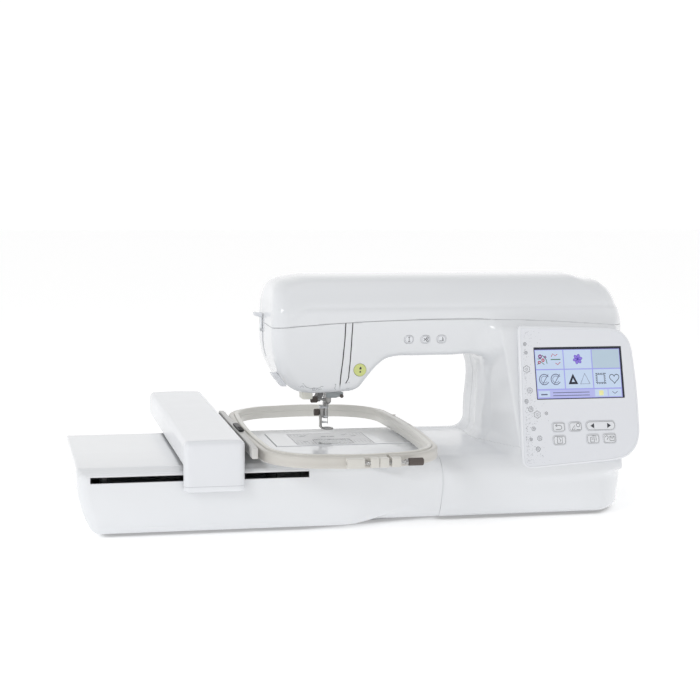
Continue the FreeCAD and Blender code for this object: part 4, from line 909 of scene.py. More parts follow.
def make_unit():
    points, faces = surface(unit_field, (-337, -178, -1), (122, 70, 93), 2.4)
    skin = make("skin", points, faces, WHITE)
    unit = part_of("unit_shell", skin, [((117.9, 0, 0), (1, 0, 0)), ((0, 0, 4.1), (0, 0, -1))], WHITE)
    remove(skin)
    bm = bmesh.new()
    bm.from_mesh(unit.data)
    low, high = Vector((-77.6, -60.6, 0)), Vector((130, 36.6, 0))
    for place, normal in (((low.x, 0, 0), (1, 0, 0)), ((0, low.y, 0), (0, 1, 0)), ((0, high.y, 0), (0, 1,
        0))):
        bmesh.ops.bisect_plane(bm, geom=bm.verts[:] + bm.edges[:] + bm.faces[:], dist=1e-7,
                               plane_co=NEEDLE + Vector(place) * MM, plane_no=Vector(normal))
    gone = []
    for f in bm.faces:
        c = (f.calc_center_median() - NEEDLE) / MM
        if c.x > low.x and low.y < c.y < high.y and c.z > 33.4:
            gone.append(f)
    bmesh.ops.delete(bm, geom=gone, context="FACES")
    for place, normal in (((-318, 0, 0), (1, 0, 0)), ((-57.5, 0, 0), (1, 0, 0)), ((0, 0, 70.6), (0, 0, 1)),
                          ((0, 0, 78.1), (0, 0, 1))):
        faces_near = [f for f in bm.faces if (f.calc_center_median().y - NEEDLE.y) / MM < -165]
        verts = {v for f in faces_near for v in f.verts}
        edges = {e for f in faces_near for e in f.edges}
        bmesh.ops.bisect_plane(bm, geom=list(verts) + list(edges) + faces_near, dist=1e-7,
                               plane_co=NEEDLE + Vector(place) * MM, plane_no=Vector(normal))
    gone = []
    for f in bm.faces:
        c = (f.calc_center_median() - NEEDLE) / MM
        if -318 < c.x < -57.5 and c.y < -165 and 70.6 < c.z < 78.1:
            gone.append(f)
    bmesh.ops.delete(bm, geom=gone, context="FACES")
    bm.to_mesh(unit.data)
    bm.free()
    unit.data.shade_smooth()
    piece(thicken(unit, 2.4), "machine", "white_gloss", "unit_casing")


def carriage_field(x, y, z):
    side = np.maximum(-210.0 - x, x + 137.0)
    plan = round_max(side, np.maximum(-187.5 - y, y - 222.0), 8.0)
    crown = 120.6 - 1.0 * ((x + 173.5) / 36.5) ** 2
    long_part = round_max(round_max(plan, z - crown, 6.5), 90.5 - z, 1.2)
    skirt = round_max(round_max(plan, z - crown, 6.5), round_max(58.5 - z, y + 175.6, 3.0), 5.0)
    return np.minimum(long_part, skirt)


def make_carriage():
    points, faces = surface(carriage_field, (-213, -191, 55), (-134, 225, 124), 1.5)
    cover = make("carriage_shell", points, faces, CARRIAGE_WHITE)
    bm = bmesh.new()
    bm.from_mesh(cover.data)
    gone = []
    for place, normal in (((0, 0, 100.5), (0, 0, 1)), ((0, 0, 109.5), (0, 0, 1)), ((0, -176, 0), (0, 1, 0)),
                          ((0, 212, 0), (0, 1, 0)), ((0, 0, 91.6), (0, 0, 1))):
        bmesh.ops.bisect_plane(bm, geom=bm.verts[:] + bm.edges[:] + bm.faces[:], dist=1e-7,
                               plane_co=NEEDLE + Vector(place) * MM, plane_no=Vector(normal))
    for f in bm.faces:
        c = (f.calc_center_median() - NEEDLE) / MM
        slot = c.x > -138.5 and -176 < c.y < 212 and 100.5 < c.z < 109.5
        under = c.z < 91.6 and c.y > -175.8
        back = c.y > -176.2 and c.z < 91.6
        if slot or under or back:
            gone.append(f)
    bmesh.ops.delete(bm, geom=gone, context="FACES")
    bm.to_mesh(cover.data)
    bm.free()
    cover.data.shade_smooth()
    piece(thicken(cover, 2.0), "carriage", "white_gloss", "carriage_cover")


# ---------------------------------------------------------------------------
# Control panel
# ---------------------------------------------------------------------------
PANEL_EDGE = curve([
    (236, 64.7), (236, 64.7), (342, 71.6), (342, 71.6), (362, 76), (376, 88), (382.4, 106), (382.9, 116),
    (381.6, 200),
    (381, 207), (376.5, 222), (366, 232.5), (352, 236.4), (352, 236.4), (236, 240), (236, 240), (231.5,
        239),
    (229.3, 234), (229.3, 234), (222.8, 80), (222.8, 80), (224.2, 70), (229, 65.5)], 5)
SCREEN = (247.7, 365.7, 148.8, 213.0)
PANEL_KEYS = {
    "panel_key_home": (264.5, 282.3, 108.5, 121.0), "panel_key_frame": (286.8, 304.8, 108.5, 121.0),
    "panel_key_page": (309.4, 349.8, 109.0, 121.6), "panel_key_trial": (264.5, 282.3, 92.5, 105.0),
    "panel_key_memory": (309.4, 327.2, 92.9, 105.4), "panel_key_help": (331.6, 349.8, 93.1, 105.8),
}


def on_panel(u, v, w):
    """Place at width u and height v, w behind the panel's face."""
    return u, panel_y(v) + w, v


def key_outline(name, spare=0.0):
    x0, x1, z0, z1 = PANEL_KEYS[name]
    r = 5.4 if name == "panel_key_page" else 3.6
    return round_box(x0 + 0.4 - spare, x1 - 0.4 + spare, z0 + 0.4 - spare, z1 - 0.4 + spare, r + spare, 7)


def make_panel():
    x0, x1, z0, z1 = SCREEN
    holes = [round_box(x0 - 0.2, x1 + 0.2, z0 - 0.2, z1 + 0.2, 1.0, 3)]
    holes += [key_outline(name, 0.35) for name in PANEL_KEYS]
    front = inset(PANEL_EDGE, 3.1)
    rim = [(0.7, 7.3), (0.15, 6.9), (0, 6.2), (0, 2.4), (0.25, 1.4), (0.8, 0.6), (1.7, 0.1), (2.5, 0.0),
           (2.95, 0.15),
           (3.1, 0.45)]
    verts, faces = stack(PANEL_EDGE, rim, on_panel)
    faces.pop()
    body = joined([(verts, faces), holed(front, holes, 0.45, 2.0, on_panel)])
    housing = make("panel_housing_skin", *body, PANEL_WHITE, sharp=32)
    piece(housing, "machine", "white_gloss", "panel_housing")
    film = make("panel_film_skin", *holed(inset(PANEL_EDGE, 3.35), holes, 0.12, 0.42, on_panel), FILM,
                sharp=30)
    piece(film, "machine", "film", "panel_film")
    make_film_print()
    make_screen()
    make_panel_keys()


def make_film_print():
    """Pale generic pattern of small daisies, rings and dots down the left of the panel."""
    ink = Print(lambda u, v, w: on_panel(u, v, 0.12 + w), -0.035)
    rng = np.random.default_rng(7)
    inside = inset(PANEL_EDGE, 4.6)

    def free(u, v, r):
        if polygon(np.array([u]), np.array([v]), inside)[0] > -r:
            return False
        return not (SCREEN[0] - r - 1 < u < SCREEN[1] + r + 1 and SCREEN[2] - r - 1 < v < SCREEN[3] + r + 1)

    flowers = [(235.6, 233.5, 4.6, 10), (240.6, 235.8, 2.2, 7), (236.4, 217.6, 2.1, 8), (237.2, 206.8, 2.0,
        8),
               (236.6, 186.4, 4.6, 6), (238.8, 160.2, 3.6, 7), (250.8, 141.6, 6.6, 6), (238.2, 137.2, 3.4,
                   8),
               (246.4, 130.6, 4.6, 6), (240.2, 113.4, 2.6, 8), (247.4, 101.6, 3.2, 8), (244.4, 88.6, 3.0,
                   9),
               (258.6, 131.8, 2.0, 6), (233.4, 147.2, 2.6, 7), (232.4, 171.6, 2.4, 6), (236.0, 100.6, 2.0,
                   6)]
    for u, v, r, petals in flowers:
        path = []
        for k in range(petals * 8):
            a = 2 * math.pi * k / (petals * 8)
            reach = r * (0.72 + 0.28 * abs(math.sin(petals * a / 2)))
            path.append((u + reach * math.cos(a), v + reach * math.sin(a)))
        if not all(free(pu, pv, 0.3) for pu, pv in path):
            continue
        ink.line(path, 0.5, INK_MID, True)
        ink.line(disc(u, v, r * 0.28, 14), 0.4, INK_MID, True)
        for k in range(petals):
            a = 2 * math.pi * (k + 0.5) / petals
            ink.line([(u + r * 0.36 * math.cos(a), v + r * 0.36 * math.sin(a)),
                      (u + r * 0.62 * math.cos(a), v + r * 0.62 * math.sin(a))], 0.3, INK_PALE)
    for k in range(900):
        v = rng.uniform(70, 238)
        reach = 7 + 20 * math.exp(-((v - 232) / 12) ** 2) + 16 * math.exp(-((v - 135) / 14) ** 2) \
            + 18 * math.exp(-((v - 76) / 14) ** 2)
        u = 226 + rng.exponential(0.45) * reach + 2
        r = rng.uniform(0.18, 0.5)
        if free(u, v, 1.0) and u < 262:
            ink.fill(disc(u, v, r, 7), INK_PALE)
    piece(ink.make("panel_print"), "machine", "film")


def make_screen():
    """Lit display: a bezel and a plain generic menu of tiles."""
    x0, x1, z0, z1 = SCREEN
    body = make("screen_body", *stack(round_box(x0 - 0.1, x1 + 0.1, z0 - 0.1, z1 + 0.1, 0.8, 3),
                                      [(0, 4.8), (0, 0.75), (0.05, 0.7)], on_panel), SCREEN_BEZEL_AND_SHADE, sharp=30)
    piece(body, "machine", "display", "lcd_screen")
    ui = Print(lambda u, v, w: on_panel(u, v, 0.68 + w), -0.012)
    # The dark bezel shows round the menu: a thin border of its own at the left and bottom, widened at the top and
    # right as painted shade.
    left, right, low, high = x0 + 1.0, x1 - 2.6, z0 + 0.9, z1 - 3.0
    ui.fill([(left, low), (right, low), (right, high), (left, high)], UI_LILAC)
    bar = low + 11.2
    wide, tall = (right - left) / 3, (high - bar) / 2
    for row in (0, 1):
        for col in (0, 1, 2):
            u0, v0 = left + col * wide + 0.7, bar + row * tall + 0.7
            mat = UI_BLUE if not (row == 1 and col == 2) else UI_BLUE_DEEP
            ui.fill([(u0, v0), (u0 + wide - 1.4, v0), (u0 + wide - 1.4, v0 + tall - 1.4), (u0,
                v0 + tall - 1.4)],
                    mat, 1)
    ui.fill([(left + 0.6, low + 0.6), (right - 0.6, low + 0.6), (right - 0.6, bar - 0.6), (left + 0.6,
        bar - 0.6)],
            UI_BAR, 1)
    ui.fill([(left + 2, low + 2), (left + 17, low + 2), (left + 17, bar - 1.8), (left + 2, bar - 1.8)],
            UI_BLUE, 2)
    for v in (low + 3.4, low + 7.0):
        ui.line([(left + 21, v), (left + 70, v)], 0.9, UI_GREY, up=3)
    ui.line([(left + 5, low + 5), (left + 13.5, low + 5)], 1.6, UI_GREY, up=3)
    for u in (right - 37, right - 18.5):
        ui.fill([(u, low + 1.2), (u + 17, low + 1.2), (u + 17, bar - 1.1), (u, bar - 1.1)], UI_BLUE, 2)
    ui.fill(round_box(right - 31.5, right - 25.5, low + 2.6, low + 8.8, 1.4, 3), UI_YELLOW, 3)
    ui.line([(right - 13.5, low + 7.2), (right - 10, low + 4.6), (right - 6.5, low + 7.2)], 0.9, UI_GREY,
            up=3)
    mid = [(left + wide * (c + 0.5), bar + tall * (r + 0.5)) for r in (0, 1) for c in (0, 1, 2)]
    u, v = mid[3]
    for du, dv, r, mat in ((-12, 4, 2.6, UI_PLUM), (-8.4, -0.6, 2.2, UI_RED), (-13.6, -3.4, 2.0, UI_RED),
                           (-5.2, 3.2, 1.6, UI_PLUM)):
        ui.fill(disc(u + du, v + dv, r, 12), mat, 2)
        ui.fill(disc(u + du, v + dv, r * 0.4, 8), UI_BLUE, 3)
    for path in ([(-16, -6), (-12, -2), (-7, -6)], [(-15.5, 1), (-11, 1.2)], [(-9, 5.5), (-4, 0), (-3.2,
        -5)]):
        ui.line([(u + a, v + b) for a, b in path], 0.9, UI_GREEN, up=2)
    ui.line([(u + 2, v), (u + 15, v)], 1.2, UI_GREEN, up=2)
    for path in ([(3, 3.4), (5, 7.2), (8, 4.6), (11.2, 6.4)], [(8, -4.4), (11, -6.4), (14.6, -3.4)]):
        ui.line([(u + a, v + b) for a, b in path], 0.8, UI_RED, up=2)
    u, v = mid[4]
    for a in (0, 60, 120, 180, 240, 300):
        tilt = math.radians(a + 12)
        petal = []
        for k in range(14):
            t = 2 * math.pi * k / 14
            x, y = 6.2 * (0.6 + 0.42 * math.cos(t)), 1.9 * math.sin(t)
            petal.append((u + x * math.cos(tilt) - y * math.sin(tilt),
                          v + x * math.sin(tilt) + y * math.cos(tilt)))
        ui.fill(petal, UI_VIOLET, 2)
        ui.line(petal, 0.4, UI_INDIGO, True, up=3)
    ui.fill(disc(u, v, 1.5, 14), UI_INDIGO, 4)
    u, v = mid[0]
    for k, (du, r) in enumerate(((-8.5, 6.4), (7.0, 6.4))):
        ui.line(arc_path(u + du, v, r, 30, 330, 22), 1.0, UI_GREY, up=2)
        ui.line(arc_path(u + du, v, r - 2.2, 30, 330, 22), 0.6, UI_GREY, up=2)
        ui.line([(u + du - 3, v - 6.6), (u + du + 2, v + 1), (u + du + 5.6, v + 6.4)], 0.8, UI_GREY, up=3)
    u, v = mid[1]
    ui.fill([(u - 14.5, v - 6.4), (u - 1.5, v - 6.4), (u - 8, v + 6.8)], UI_DARK, 2)
    ui.fill([(u - 10.2, v - 3.6), (u - 5.8, v - 3.6), (u - 8, v + 1.0)], UI_BLUE, 3)
    ui.line([(u + 1.6, v - 6.2), (u + 14.4, v - 6.2), (u + 8, v + 6.6)], 0.9, UI_GREY, True, up=2)
    u, v = mid[2]
    for k in range(6):
        t = -5.6 + 11.2 * k / 5
        for path in ([(t, 6.2), (t + 1.2, 6.2)], [(t, -6.2), (t + 1.2, -6.2)], [(-6.4, t), (-6.4, t + 1.2)],
                     [(5.6, t), (5.6, t + 1.2)]):
            ui.line([(u - 8.5 + a, v + b) for a, b in path], 1.1, UI_DARK, up=2)
    ui.line([(u - 8.5 + a, v + b) for a, b in ((-5.2, -5), (4.4, -5), (4.4, 5), (-5.2, 5))], 0.8, UI_DARK,
            True, up=3)
    heart = []
    for k in range(40):
        t = 2 * math.pi * k / 40
        heart.append((u + 9.6 + 0.4 * 16 * math.sin(t)**3,
                      v + 0.4 * (13 * math.cos(t) - 5 * math.cos(2 * t) - 2 * math.cos(3 * t) - math.cos(4 * t))))
    ui.line(heart, 0.8, UI_DARK, True, up=2)
    piece(ui.make("screen_picture"), "machine", "display")


def make_panel_keys():
    for name, (x0, x1, z0, z1) in PANEL_KEYS.items():
        outline = key_outline(name)
        cap = stack(outline, [(0, 5.8), (0, -0.35), (0.18, -0.62), (0.5, -0.78), (1.4, -0.86)], on_panel)
        obj = make(name + "_cap", *cap, KEY, sharp=40)
        piece(obj, name + "_cap", "key_grey", name)
        ink = Print(lambda u, v, w: on_panel(u, v, -0.86 + w), -0.03)
        ink.line(inset(outline, 1.05), 0.4, INK, True)
        u, v = (x0 + x1) / 2, (z0 + z1) / 2
        draw = {
            "panel_key_home": [[(u + 4, v - 3), (u - 2, v - 3)] and arc_path(u + 1.6, v - 0.4, 2.4, -90, 90,
                10)
                               + [(u - 4.0, v + 2.0)], [(u - 4.2, v - 2.8), (u + 1.6, v - 2.8)],
                               [(u - 2.0, v + 3.8), (u - 4.2, v + 2.0), (u - 2.0, v + 0.4)]],
            "panel_key_frame": [[(u - 5, v - 3.6), (u - 1, v + 2), (u - 1, v - 3.6), (u - 5, v - 3.6)],
                                disc(u + 3.6, v + 2.0, 2.2, 12) + [(u + 5.8, v + 2.0)],
                                [(u + 1, v - 3.6), (u + 6, v - 3.6)]],
            "panel_key_trial": [[(u - 3, v - 3.6), (u + 3.4, v - 3.6), (u + 3.4, v + 3.8), (u - 3, v + 3.8),
                                 (u - 3, v - 3.6)], [(u, v - 2), (u + 1.4, v), (u - 0.4, v + 2.2)]],
            "panel_key_memory": [[(u - 3.6, v - 3.6), (u + 1.4, v - 3.6), (u + 1.4, v + 2.2), (u - 3.6,
                v + 2.2),
                                  (u - 3.6, v - 3.6)], [(u - 1.2, v + 3.8), (u + 3.8, v + 3.8), (u + 3.8,
                                      v - 2)],
                                 [(u - 2.4, v), (u + 0.4, v)]],
            "panel_key_help": [arc_path(u - 4, v + 1.4, 1.8, 180, -60, 10) + [(u - 3.8, v - 1.6)],
                               [(u, v - 2.8), (u + 6, v - 2.8), (u + 6, v + 2.6), (u, v + 2.6), (u,
                                   v - 2.8)],
                               [(u, v + 2.6), (u + 3, v - 0.2), (u + 6, v + 2.6)]],
        }.get(name, [])
        for path in draw:
            ink.line(path, 0.55, INK, up=0.5)
        if name == "panel_key_page":
            for side in (-1, 1):
                c = u + side * 11
                tip = [(c + side * 2.8, v), (c - side * 2.2, v + 3.2), (c - side * 2.2, v - 3.2)]
                ink.fill(tip if side > 0 else tip, INK, 0.5)
        piece(ink.make(name + "_mark"), name + "_cap", "key_grey")


# ---------------------------------------------------------------------------
# Hoop, its clamp and its holder
# ---------------------------------------------------------------------------
WINDOW = (-104.0, 88.0, -223.5, 142.0)


def window(grow, bow=0.0, n=16, side=14):
    """Outline of the hoop's window, grown outwards; its sides bow out a little."""
    x0, x1, y0, y1 = WINDOW[0] - grow, WINDOW[1] + grow, WINDOW[2] - grow, WINDOW[3] + grow
    r = 60 + 0.9 * grow
    out = []
    corners = ((x1 - r, y0 + r, -90), (x1 - r, y1 - r, 0), (x0 + r, y1 - r, 90), (x0 + r, y0 + r, 180))
    for k, (cu, cv, start) in enumerate(corners):
        for i in range(n + 1):
            a = math.radians(start + 90 * i / n)
            out.append((cu + r * math.cos(a), cv + r * math.sin(a)))
        ends = (out[-1], (corners[(k + 1) % 4][0] + r * math.cos(math.radians(start + 90)),
                          corners[(k + 1) % 4][1] + r * math.sin(math.radians(start + 90))))
        for i in range(1, side):
            t = i / side
            reach = bow * (1 - (2 * t - 1) ** 2)
            out.append((ends[0][0] + (ends[1][0] - ends[0][0]) * t + reach * math.cos(math.radians(start + 90)),
                        ends[0][1] + (ends[1][1] - ends[0][1]) * t + reach * math.sin(math.radians(start + 90))))
    return out


def ring(profile, bow=0.0):
    """Hoop ring: a closed profile of (outward, height) swept round the window."""
    verts, faces = [], []
    for grow, z in profile:
        verts += [(u, v, z) for u, v in window(grow, 5 + bow * max(0.0, (grow - 6.15) / 6.85))]
    n = len(verts) // len(profile)
    for k in range(len(profile)):
        m = (k + 1) % len(profile)
        for i in range(n):
            j = (i + 1) % n
            faces.append((k * n + i, k * n + j, m * n + j, m * n + i))
    return verts, faces


def block(x0, x1, y0, y1, z0, z1, edge, r=1.2):
    """Moulded block with rounded corners and edges."""
    return stack(round_box(x0, x1, y0, y1, r, 4), rounded(edge, z0, z1), flat("xy"))


def bored(x0, x1, y0, y1, z0, z1, hole):
    """Clamp block along x with a hole for the screw and eased ends."""
    outline = round_box(y0, y1, z0, z1, 1.6, 5)
    place = flat("yz")
    body = holed(inset(outline, 0.5), [disc(*hole, 2.4, 20)], x0, x1, place)
    band = stack(outline, [(0.5, x0), (0.14, x0 + 0.14), (0, x0 + 0.5), (0, x1 - 0.5), (0.14, x1 - 0.14),
                           (0.5, x1)],
                 place)
    return joined([(band[0], band[1][:-2]), body])


def make_hoop():
    inner = make("inner_ring", *ring([
        (0.7, 91.5), (0.2, 91.7), (0, 92.2), (0, 99.4), (0.35, 99.8), (0.35, 101.2), (0, 101.6), (0, 106.6),
        (0.35, 107.5),
        (1.1, 107.95), (1.9, 108), (4.4, 108), (5.3, 107.8), (5.85, 107.2), (6, 106.3), (6, 92.2), (5.8,
            91.7),
        (5.3, 91.5)]), HOOP_PALE, sharp=40)
    piece(inner, "frame", "hoop_grey", "inner_frame")
    outer = make("outer_ring", *ring([
        (6.9, 92.5), (6.4, 92.7), (6.16, 93.3), (6.16, 105.6), (6.4, 106.2), (6.9, 106.45), (8.2, 106.5),
        (11.2, 106.3),
        (12.3, 105.7), (12.9, 104.4), (13, 102.6), (12.8, 101.8), (12.8, 97.2), (13, 96.4), (12.9, 94.2),
        (12.5, 93.1),
        (11.6, 92.5)], 1.0), HOOP, sharp=40)
    bm = bmesh.new()
    bm.from_mesh(outer.data)
    for place, normal in (((22.0, 0, 0), (1, 0, 0)), ((25.5, 0, 0), (1, 0, 0))):
        keep_side(bm, place, normal, clear=False)
    gone = [f for f in bm.faces if 22.0 < (f.calc_center_median().x - NEEDLE.x) / MM < 25.5
            and (f.calc_center_median().y - NEEDLE.y) / MM < -200]
    bmesh.ops.delete(bm, geom=gone, context="FACES")
    bmesh.ops.holes_fill(bm, edges=[e for e in bm.edges if e.is_boundary], sides=0)
    bm.to_mesh(outer.data)
    bm.free()
    shade(outer, 40)
    piece(outer, "frame", "hoop_grey", "outer_frame")
    ears = joined([bored(x0, x1, -251, -240.6, 94.5, 106, (-246.5, 100)) for x0, x1 in
                   ((-28, -7), (0, 10.4), (11.0, 22), (25.5, 36.5))])
    piece(make("clamp_ears", *ears, HOOP_PALE, sharp=35), "frame", "hoop_grey")
    lugs = []
    for y in (-110, 20):
        lugs.append(block(-122.9, -117, y, y + 26, 98, 106, 1.0))
        lugs.append(block(-122.4, -119.0, y + 8, y + 18, 105.6, 107.4, 0.6))
    for y in (-30, 52):
        lugs.append(block(99.6, 104.6, y, y + 3, 105.8, 106.9, 0.4, 0.6))
    piece(make("hoop_lugs", *joined(lugs), HOOP, sharp=35), "frame", "hoop_grey")
    marks = Print(lambda u, v, w: (u, v, 108.0 - w), -0.03)
    for u, v, du, dv in ((-8, -231.6, 0, 1.6), (-8, 150.0, 0, 1.6), (-112.0, -41, 1.6, 0), (96, -41, 1.6,
        0)):
        marks.line([(u - du, v - dv), (u + du, v + dv)], 0.5, INK_MID)
    piece(marks.make("hoop_marks"), "frame", "hoop_grey")
    turned = lathe([(0, -19), (1.5, -19), (2.0, -18.5)] + [
        (2.0 if k % 2 else 1.72, -18.5 + 0.5 * k) for k in range(1, 127)] + [(2.0, 45.8), (0, 45.8)], "x",
        (0, -246.5, 100), 20)
    piece(make("clamp_thread", *turned, STEEL, sharp=50), "frame_clamp", "steel")
    grip = [(-246.5 + r * math.cos(a), 100 + r * math.sin(a)) for r, a in
            ((4.6 if k % 4 < 2 else 4.2, 2 * math.pi * k / 80) for k in range(80))]
    knob = make("clamp_knob", *stack(grip, [(0.9, 46), (0.2, 46.3), (0, 47), (0, 62.6), (0.3, 63.5), (1.2,
        64)],
                                     flat("yz")), TAUPE, sharp=32)
    piece(knob, "frame_clamp", "black_matt", "frame_screw")
    collar = lathe([(0, 42), (2.9, 42), (3.1, 42.3), (3.1, 45.6), (0, 45.6)], "x", (0, -246.5, 100), 28)
    piece(make("clamp_collar", *collar, TURNED, sharp=40), "frame_clamp", "steel")


def make_holder():
    place = lambda u, v, w: (u, w, v)
    bar = stack(round_box(-130.5, -123.3, 98.5, 112, 1.4, 5), rounded(1.2, -195, 90), place)
    parts = [bar]
    for y in (-56, 10):
        parts.append(block(-165, -129, y, y + 24, 102, 108, 1.0, 2.0))
    parts.append(block(-187, -163, -60, 38, 96.5, 101, 0.8, 2))
    for y in (-180, -140, 40, 72):
        parts.append(block(-130.9, -123.0, y, y + 10, 104, 111.4, 0.4, 0.6))
    piece(make("holder_bar", *joined(parts), HOLDER, sharp=35), "frame", "hoop_grey", "frame_holder")
    lever = [block(-129.5, -122.5, -84, -30, 112.4, 115.0, 0.7, 3.2)]
    for k in range(6):
        lever.append(block(-128.6, -123.4, -80 + 3.2 * k, -78.6 + 3.2 * k, 114.6, 115.4, 0.3, 0.5))
    piece(make("release_lever", *joined(lever), BLACK, sharp=35), "holder_lever", "black_matt",
          "frame_lever")


# ---------------------------------------------------------------------------
# Needle plate, needle bar and foot
# ---------------------------------------------------------------------------
def make_plate_print():
    """Engraved guide lines on the needle plate, with no figures."""
    ink = Print(lambda u, v, w: (u, v, 88.7 - w), -0.02)
    for k in range(5):
        for side in (-1, 1):
            u = side * (28 + 4.6 * k)
            ink.line([(u, 8 + (k % 2)), (u, 20)], 0.4, INK_MID)
            ink.line([(u, -50), (u, -30 - (k % 2))], 0.4, INK_MID)
    for path in ([(-46, 2), (-27, 2)], [(27, -2), (46, -2)], [(-30, 8), (-20, 24)], [(20, 2), (30, -14)],
                 [(-46, -24), (-27, -24)], [(27, -24), (46, -24)], [(-24.4, -20.6), (24.4, -20.6)],
                 [(-24.4, -50.4), (-24.4, -20.6)], [(24.4, -50.4), (24.4, -20.6)]):
        ink.line(path, 0.5, INK_MID)
    bow = [(-24.4 + 48.8 * k / 16, -50.4 - 4.8 * (1 - (2 * k / 16 - 1) ** 2)) for k in range(17)]
    ink.line(bow, 0.6, INK)
    ink.line([(-19, -20), (-10, -12), (0, -15), (10, -12), (19, -20)], 0.5, INK_MID)
    ink.fill(round_box(-9, -2.4, -1.9, 1.9, 1.2, 5), INK_MID)
    ink.fill(round_box(2.4, 9, -1.9, 1.9, 1.2, 5), INK_MID)
    for u, v in ((-33, 7), (23, 10), (34.5, 1), (-36, -34)):
        ink.fill(round_box(u - 3.4, u + 3.4, v - 1.0, v + 1.0, 0.8, 4), INK)
    ink.line(inset(round_box(-50, 50, -56.5, 25.5, 2.5, 4), 0.35), 0.6, INK_MID, True)
    piece(ink.make("plate_lines"), "machine", "steel")


def make_needle_parts():
    """Thread guide, clamp body with its knurled thumb screw, needle and threader bracket."""
    bar = lathe([(0, 226), (2.6, 226), (3.1, 225.4), (3.1, 148.4), (2.7, 147.6), (2.7, 146.4), (3.1, 145.6),
                 (3.1, 141),
                 (2.6, 140.1), (0, 140.1)], "z", (0, 0, 0), 36)
    piece(make("needle_bar_turned", *bar, STEEL, sharp=40), "needle_carrier", "steel", "needle_bar")
    body = lathe([(0, 132.1), (2.2, 132.1), (2.9, 132.6), (3.4, 133.6), (4.2, 134.2), (4.3, 134.8), (4.3,
        142.6),
                  (4.0, 143.2), (3.6, 144), (3.3, 144)], "z", (0, 0, 0), 36)
    guide = [stack(round_box(-3.4, 3.4, -5.6, -3.4, 0.9, 4), rounded(0.3, 140.4, 141.4), flat("xy"))]
    stud = lathe([(0, -13.6), (1.5, -13.6), (1.5, -4.0), (0, -4.0)], "x", (0, 0, 138), 18)
    piece(make("clamp_body", *joined([body, stud] + guide), TURNED, sharp=35), "needle_carrier", "steel")
    grip = [(r * math.cos(a), 138 + r * math.sin(a)) for r, a in
            ((4.2 if k % 4 < 2 else 3.8, 2 * math.pi * k / 72) for k in range(72))]
    knob = stack(grip, [(1.2, -23), (0.3, -22.6), (0, -21.8), (0, -15.2), (0.4, -14.2), (1.6, -13.6)],
                 flat("yz"))
    piece(make("clamp_screw_knob", *knob, TAUPE, sharp=32), "needle_carrier", "black_matt", "needle_clamp")
    point = lathe([(0, 104), (0.1, 104.1), (0.22, 105.2), (0.36, 106.6), (0.42, 108), (0.42, 125), (0.55,
        126.4), (0.99, 128.4),
                   (1.0, 129.4), (1.0, 133), (0, 133)], "z", (0, 0, 0), 20)
    piece(make("needle_turned", *point, STEEL, sharp=50), "needle_carrier", "steel", "needle")
    bracket = [lathe([(0, 141.1), (1.7, 141.1), (2.0, 141.5), (2.0, 188), (0, 188)], "z", (14, 18, 0), 24),
               block(11, 18, -8, 19, 142, 148, 0.8, 1.6), block(9, 11.4, -8, 6, 141, 146, 0.4, 0.8),
               block(-4.4, 18.4, -10.4, -7.4, 142.2, 148.4, 0.5, 0.8), block(-2.0, 9, -9.6, -8.6, 141,
                   142.6, 0.2, 0.4)]
    piece(make("threader_bracket", *joined(bracket), THREADER, sharp=35), "threader", "steel",
          "threader_bar")
    knob = [lathe([(0, -13), (1.9, -12.8), (2.4, -12.2), (2.4, -10.4), (0, -10.2)], "y", (16, 0, 143.4),
                  24)]
    piece(make("threader_stud", *joined(knob), TAUPE, sharp=40), "threader", "black_matt")


def coil(centre, radius, wire, low, high, turns, n=26, m=8):
    """Wire spring standing on z: vertices and faces."""
    verts, faces = [], []
    count = turns * n
    for i in range(count + 1):
        a = 2 * math.pi * i / n
        for k in range(m):
            b = 2 * math.pi * k / m
            r = radius + wire * math.cos(b)
            verts.append((centre[0] + r * math.cos(a), centre[1] + r * math.sin(a),
                          low + (high - low) * i / count + wire * math.sin(b)))
    for i in range(count):
        for k in range(m):
            j = (k + 1) % m
            faces.append((i * m + k, (i + 1) * m + k, (i + 1) * m + j, i * m + j))
    faces.append(tuple(range(m)))
    faces.append(tuple(count * m + k for k in reversed(range(m))))
    return verts, faces


def make_foot():
    """Embroidery foot: an open ring on a curved arm from a shank block."""
    circle = lathe([(4.5, 98.95), (4.75, 98.8), (7.2, 98.8), (7.5, 99.0), (7.5, 100.5), (7.2, 100.8), (4.75,
        100.8), (4.5, 100.6)],
                   "z", (0, 0, 0), 48, closed=True)
    sole = stack(round_box(-8.2, -5.2, -2, 19, 1.2, 4), rounded(0.3, 98.8, 100.8), flat("xy"))
    stem = stack(round_box(-8.0, -5.6, 9, 19, 1.0, 4), rounded(0.3, 100, 113), flat("xy"))
    shank = stack(round_box(-8.0, -3.2, 10, 20, 1.0, 4), rounded(0.6, 112, 126.8), flat("xy"))
    parts = [circle, sole, stem, shank, coil((0, 15), 3.75, 0.42, 127.2, 140, 7)]
    piece(make("foot_body", *joined(parts), TURNED, sharp=35), "presser", "steel", "embroidery_foot")
    grip = [(15 + r * math.cos(a), 118.8 + r * math.sin(a)) for r, a in
            ((4.5 if k % 4 < 2 else 4.1, 2 * math.pi * k / 64) for k in range(64))]
    knob = [stack(grip, [(0.8, -15.3), (0, -14.6), (0, -9.2), (0.6, -8.5)], flat("yz"))]
    runner = [block(-8.6, 3.4, 8.6, 21.4, 124.4, 127.0, 0.6, 1.2), block(-4.6, 3.4, 11.4, 20.2, 112.2,
        114.2, 0.4, 1.0),
              block(-4.8, 2.6, 12, 19.6, 104.6, 106.4, 0.4, 1.0)]
    piece(make("foot_runner", *joined(runner), KEY, sharp=35), "presser", "key_grey")
    piece(make("foot_knob", *joined(knob), TAUPE, sharp=32), "foot_clamp", "steel", "foot_screw")


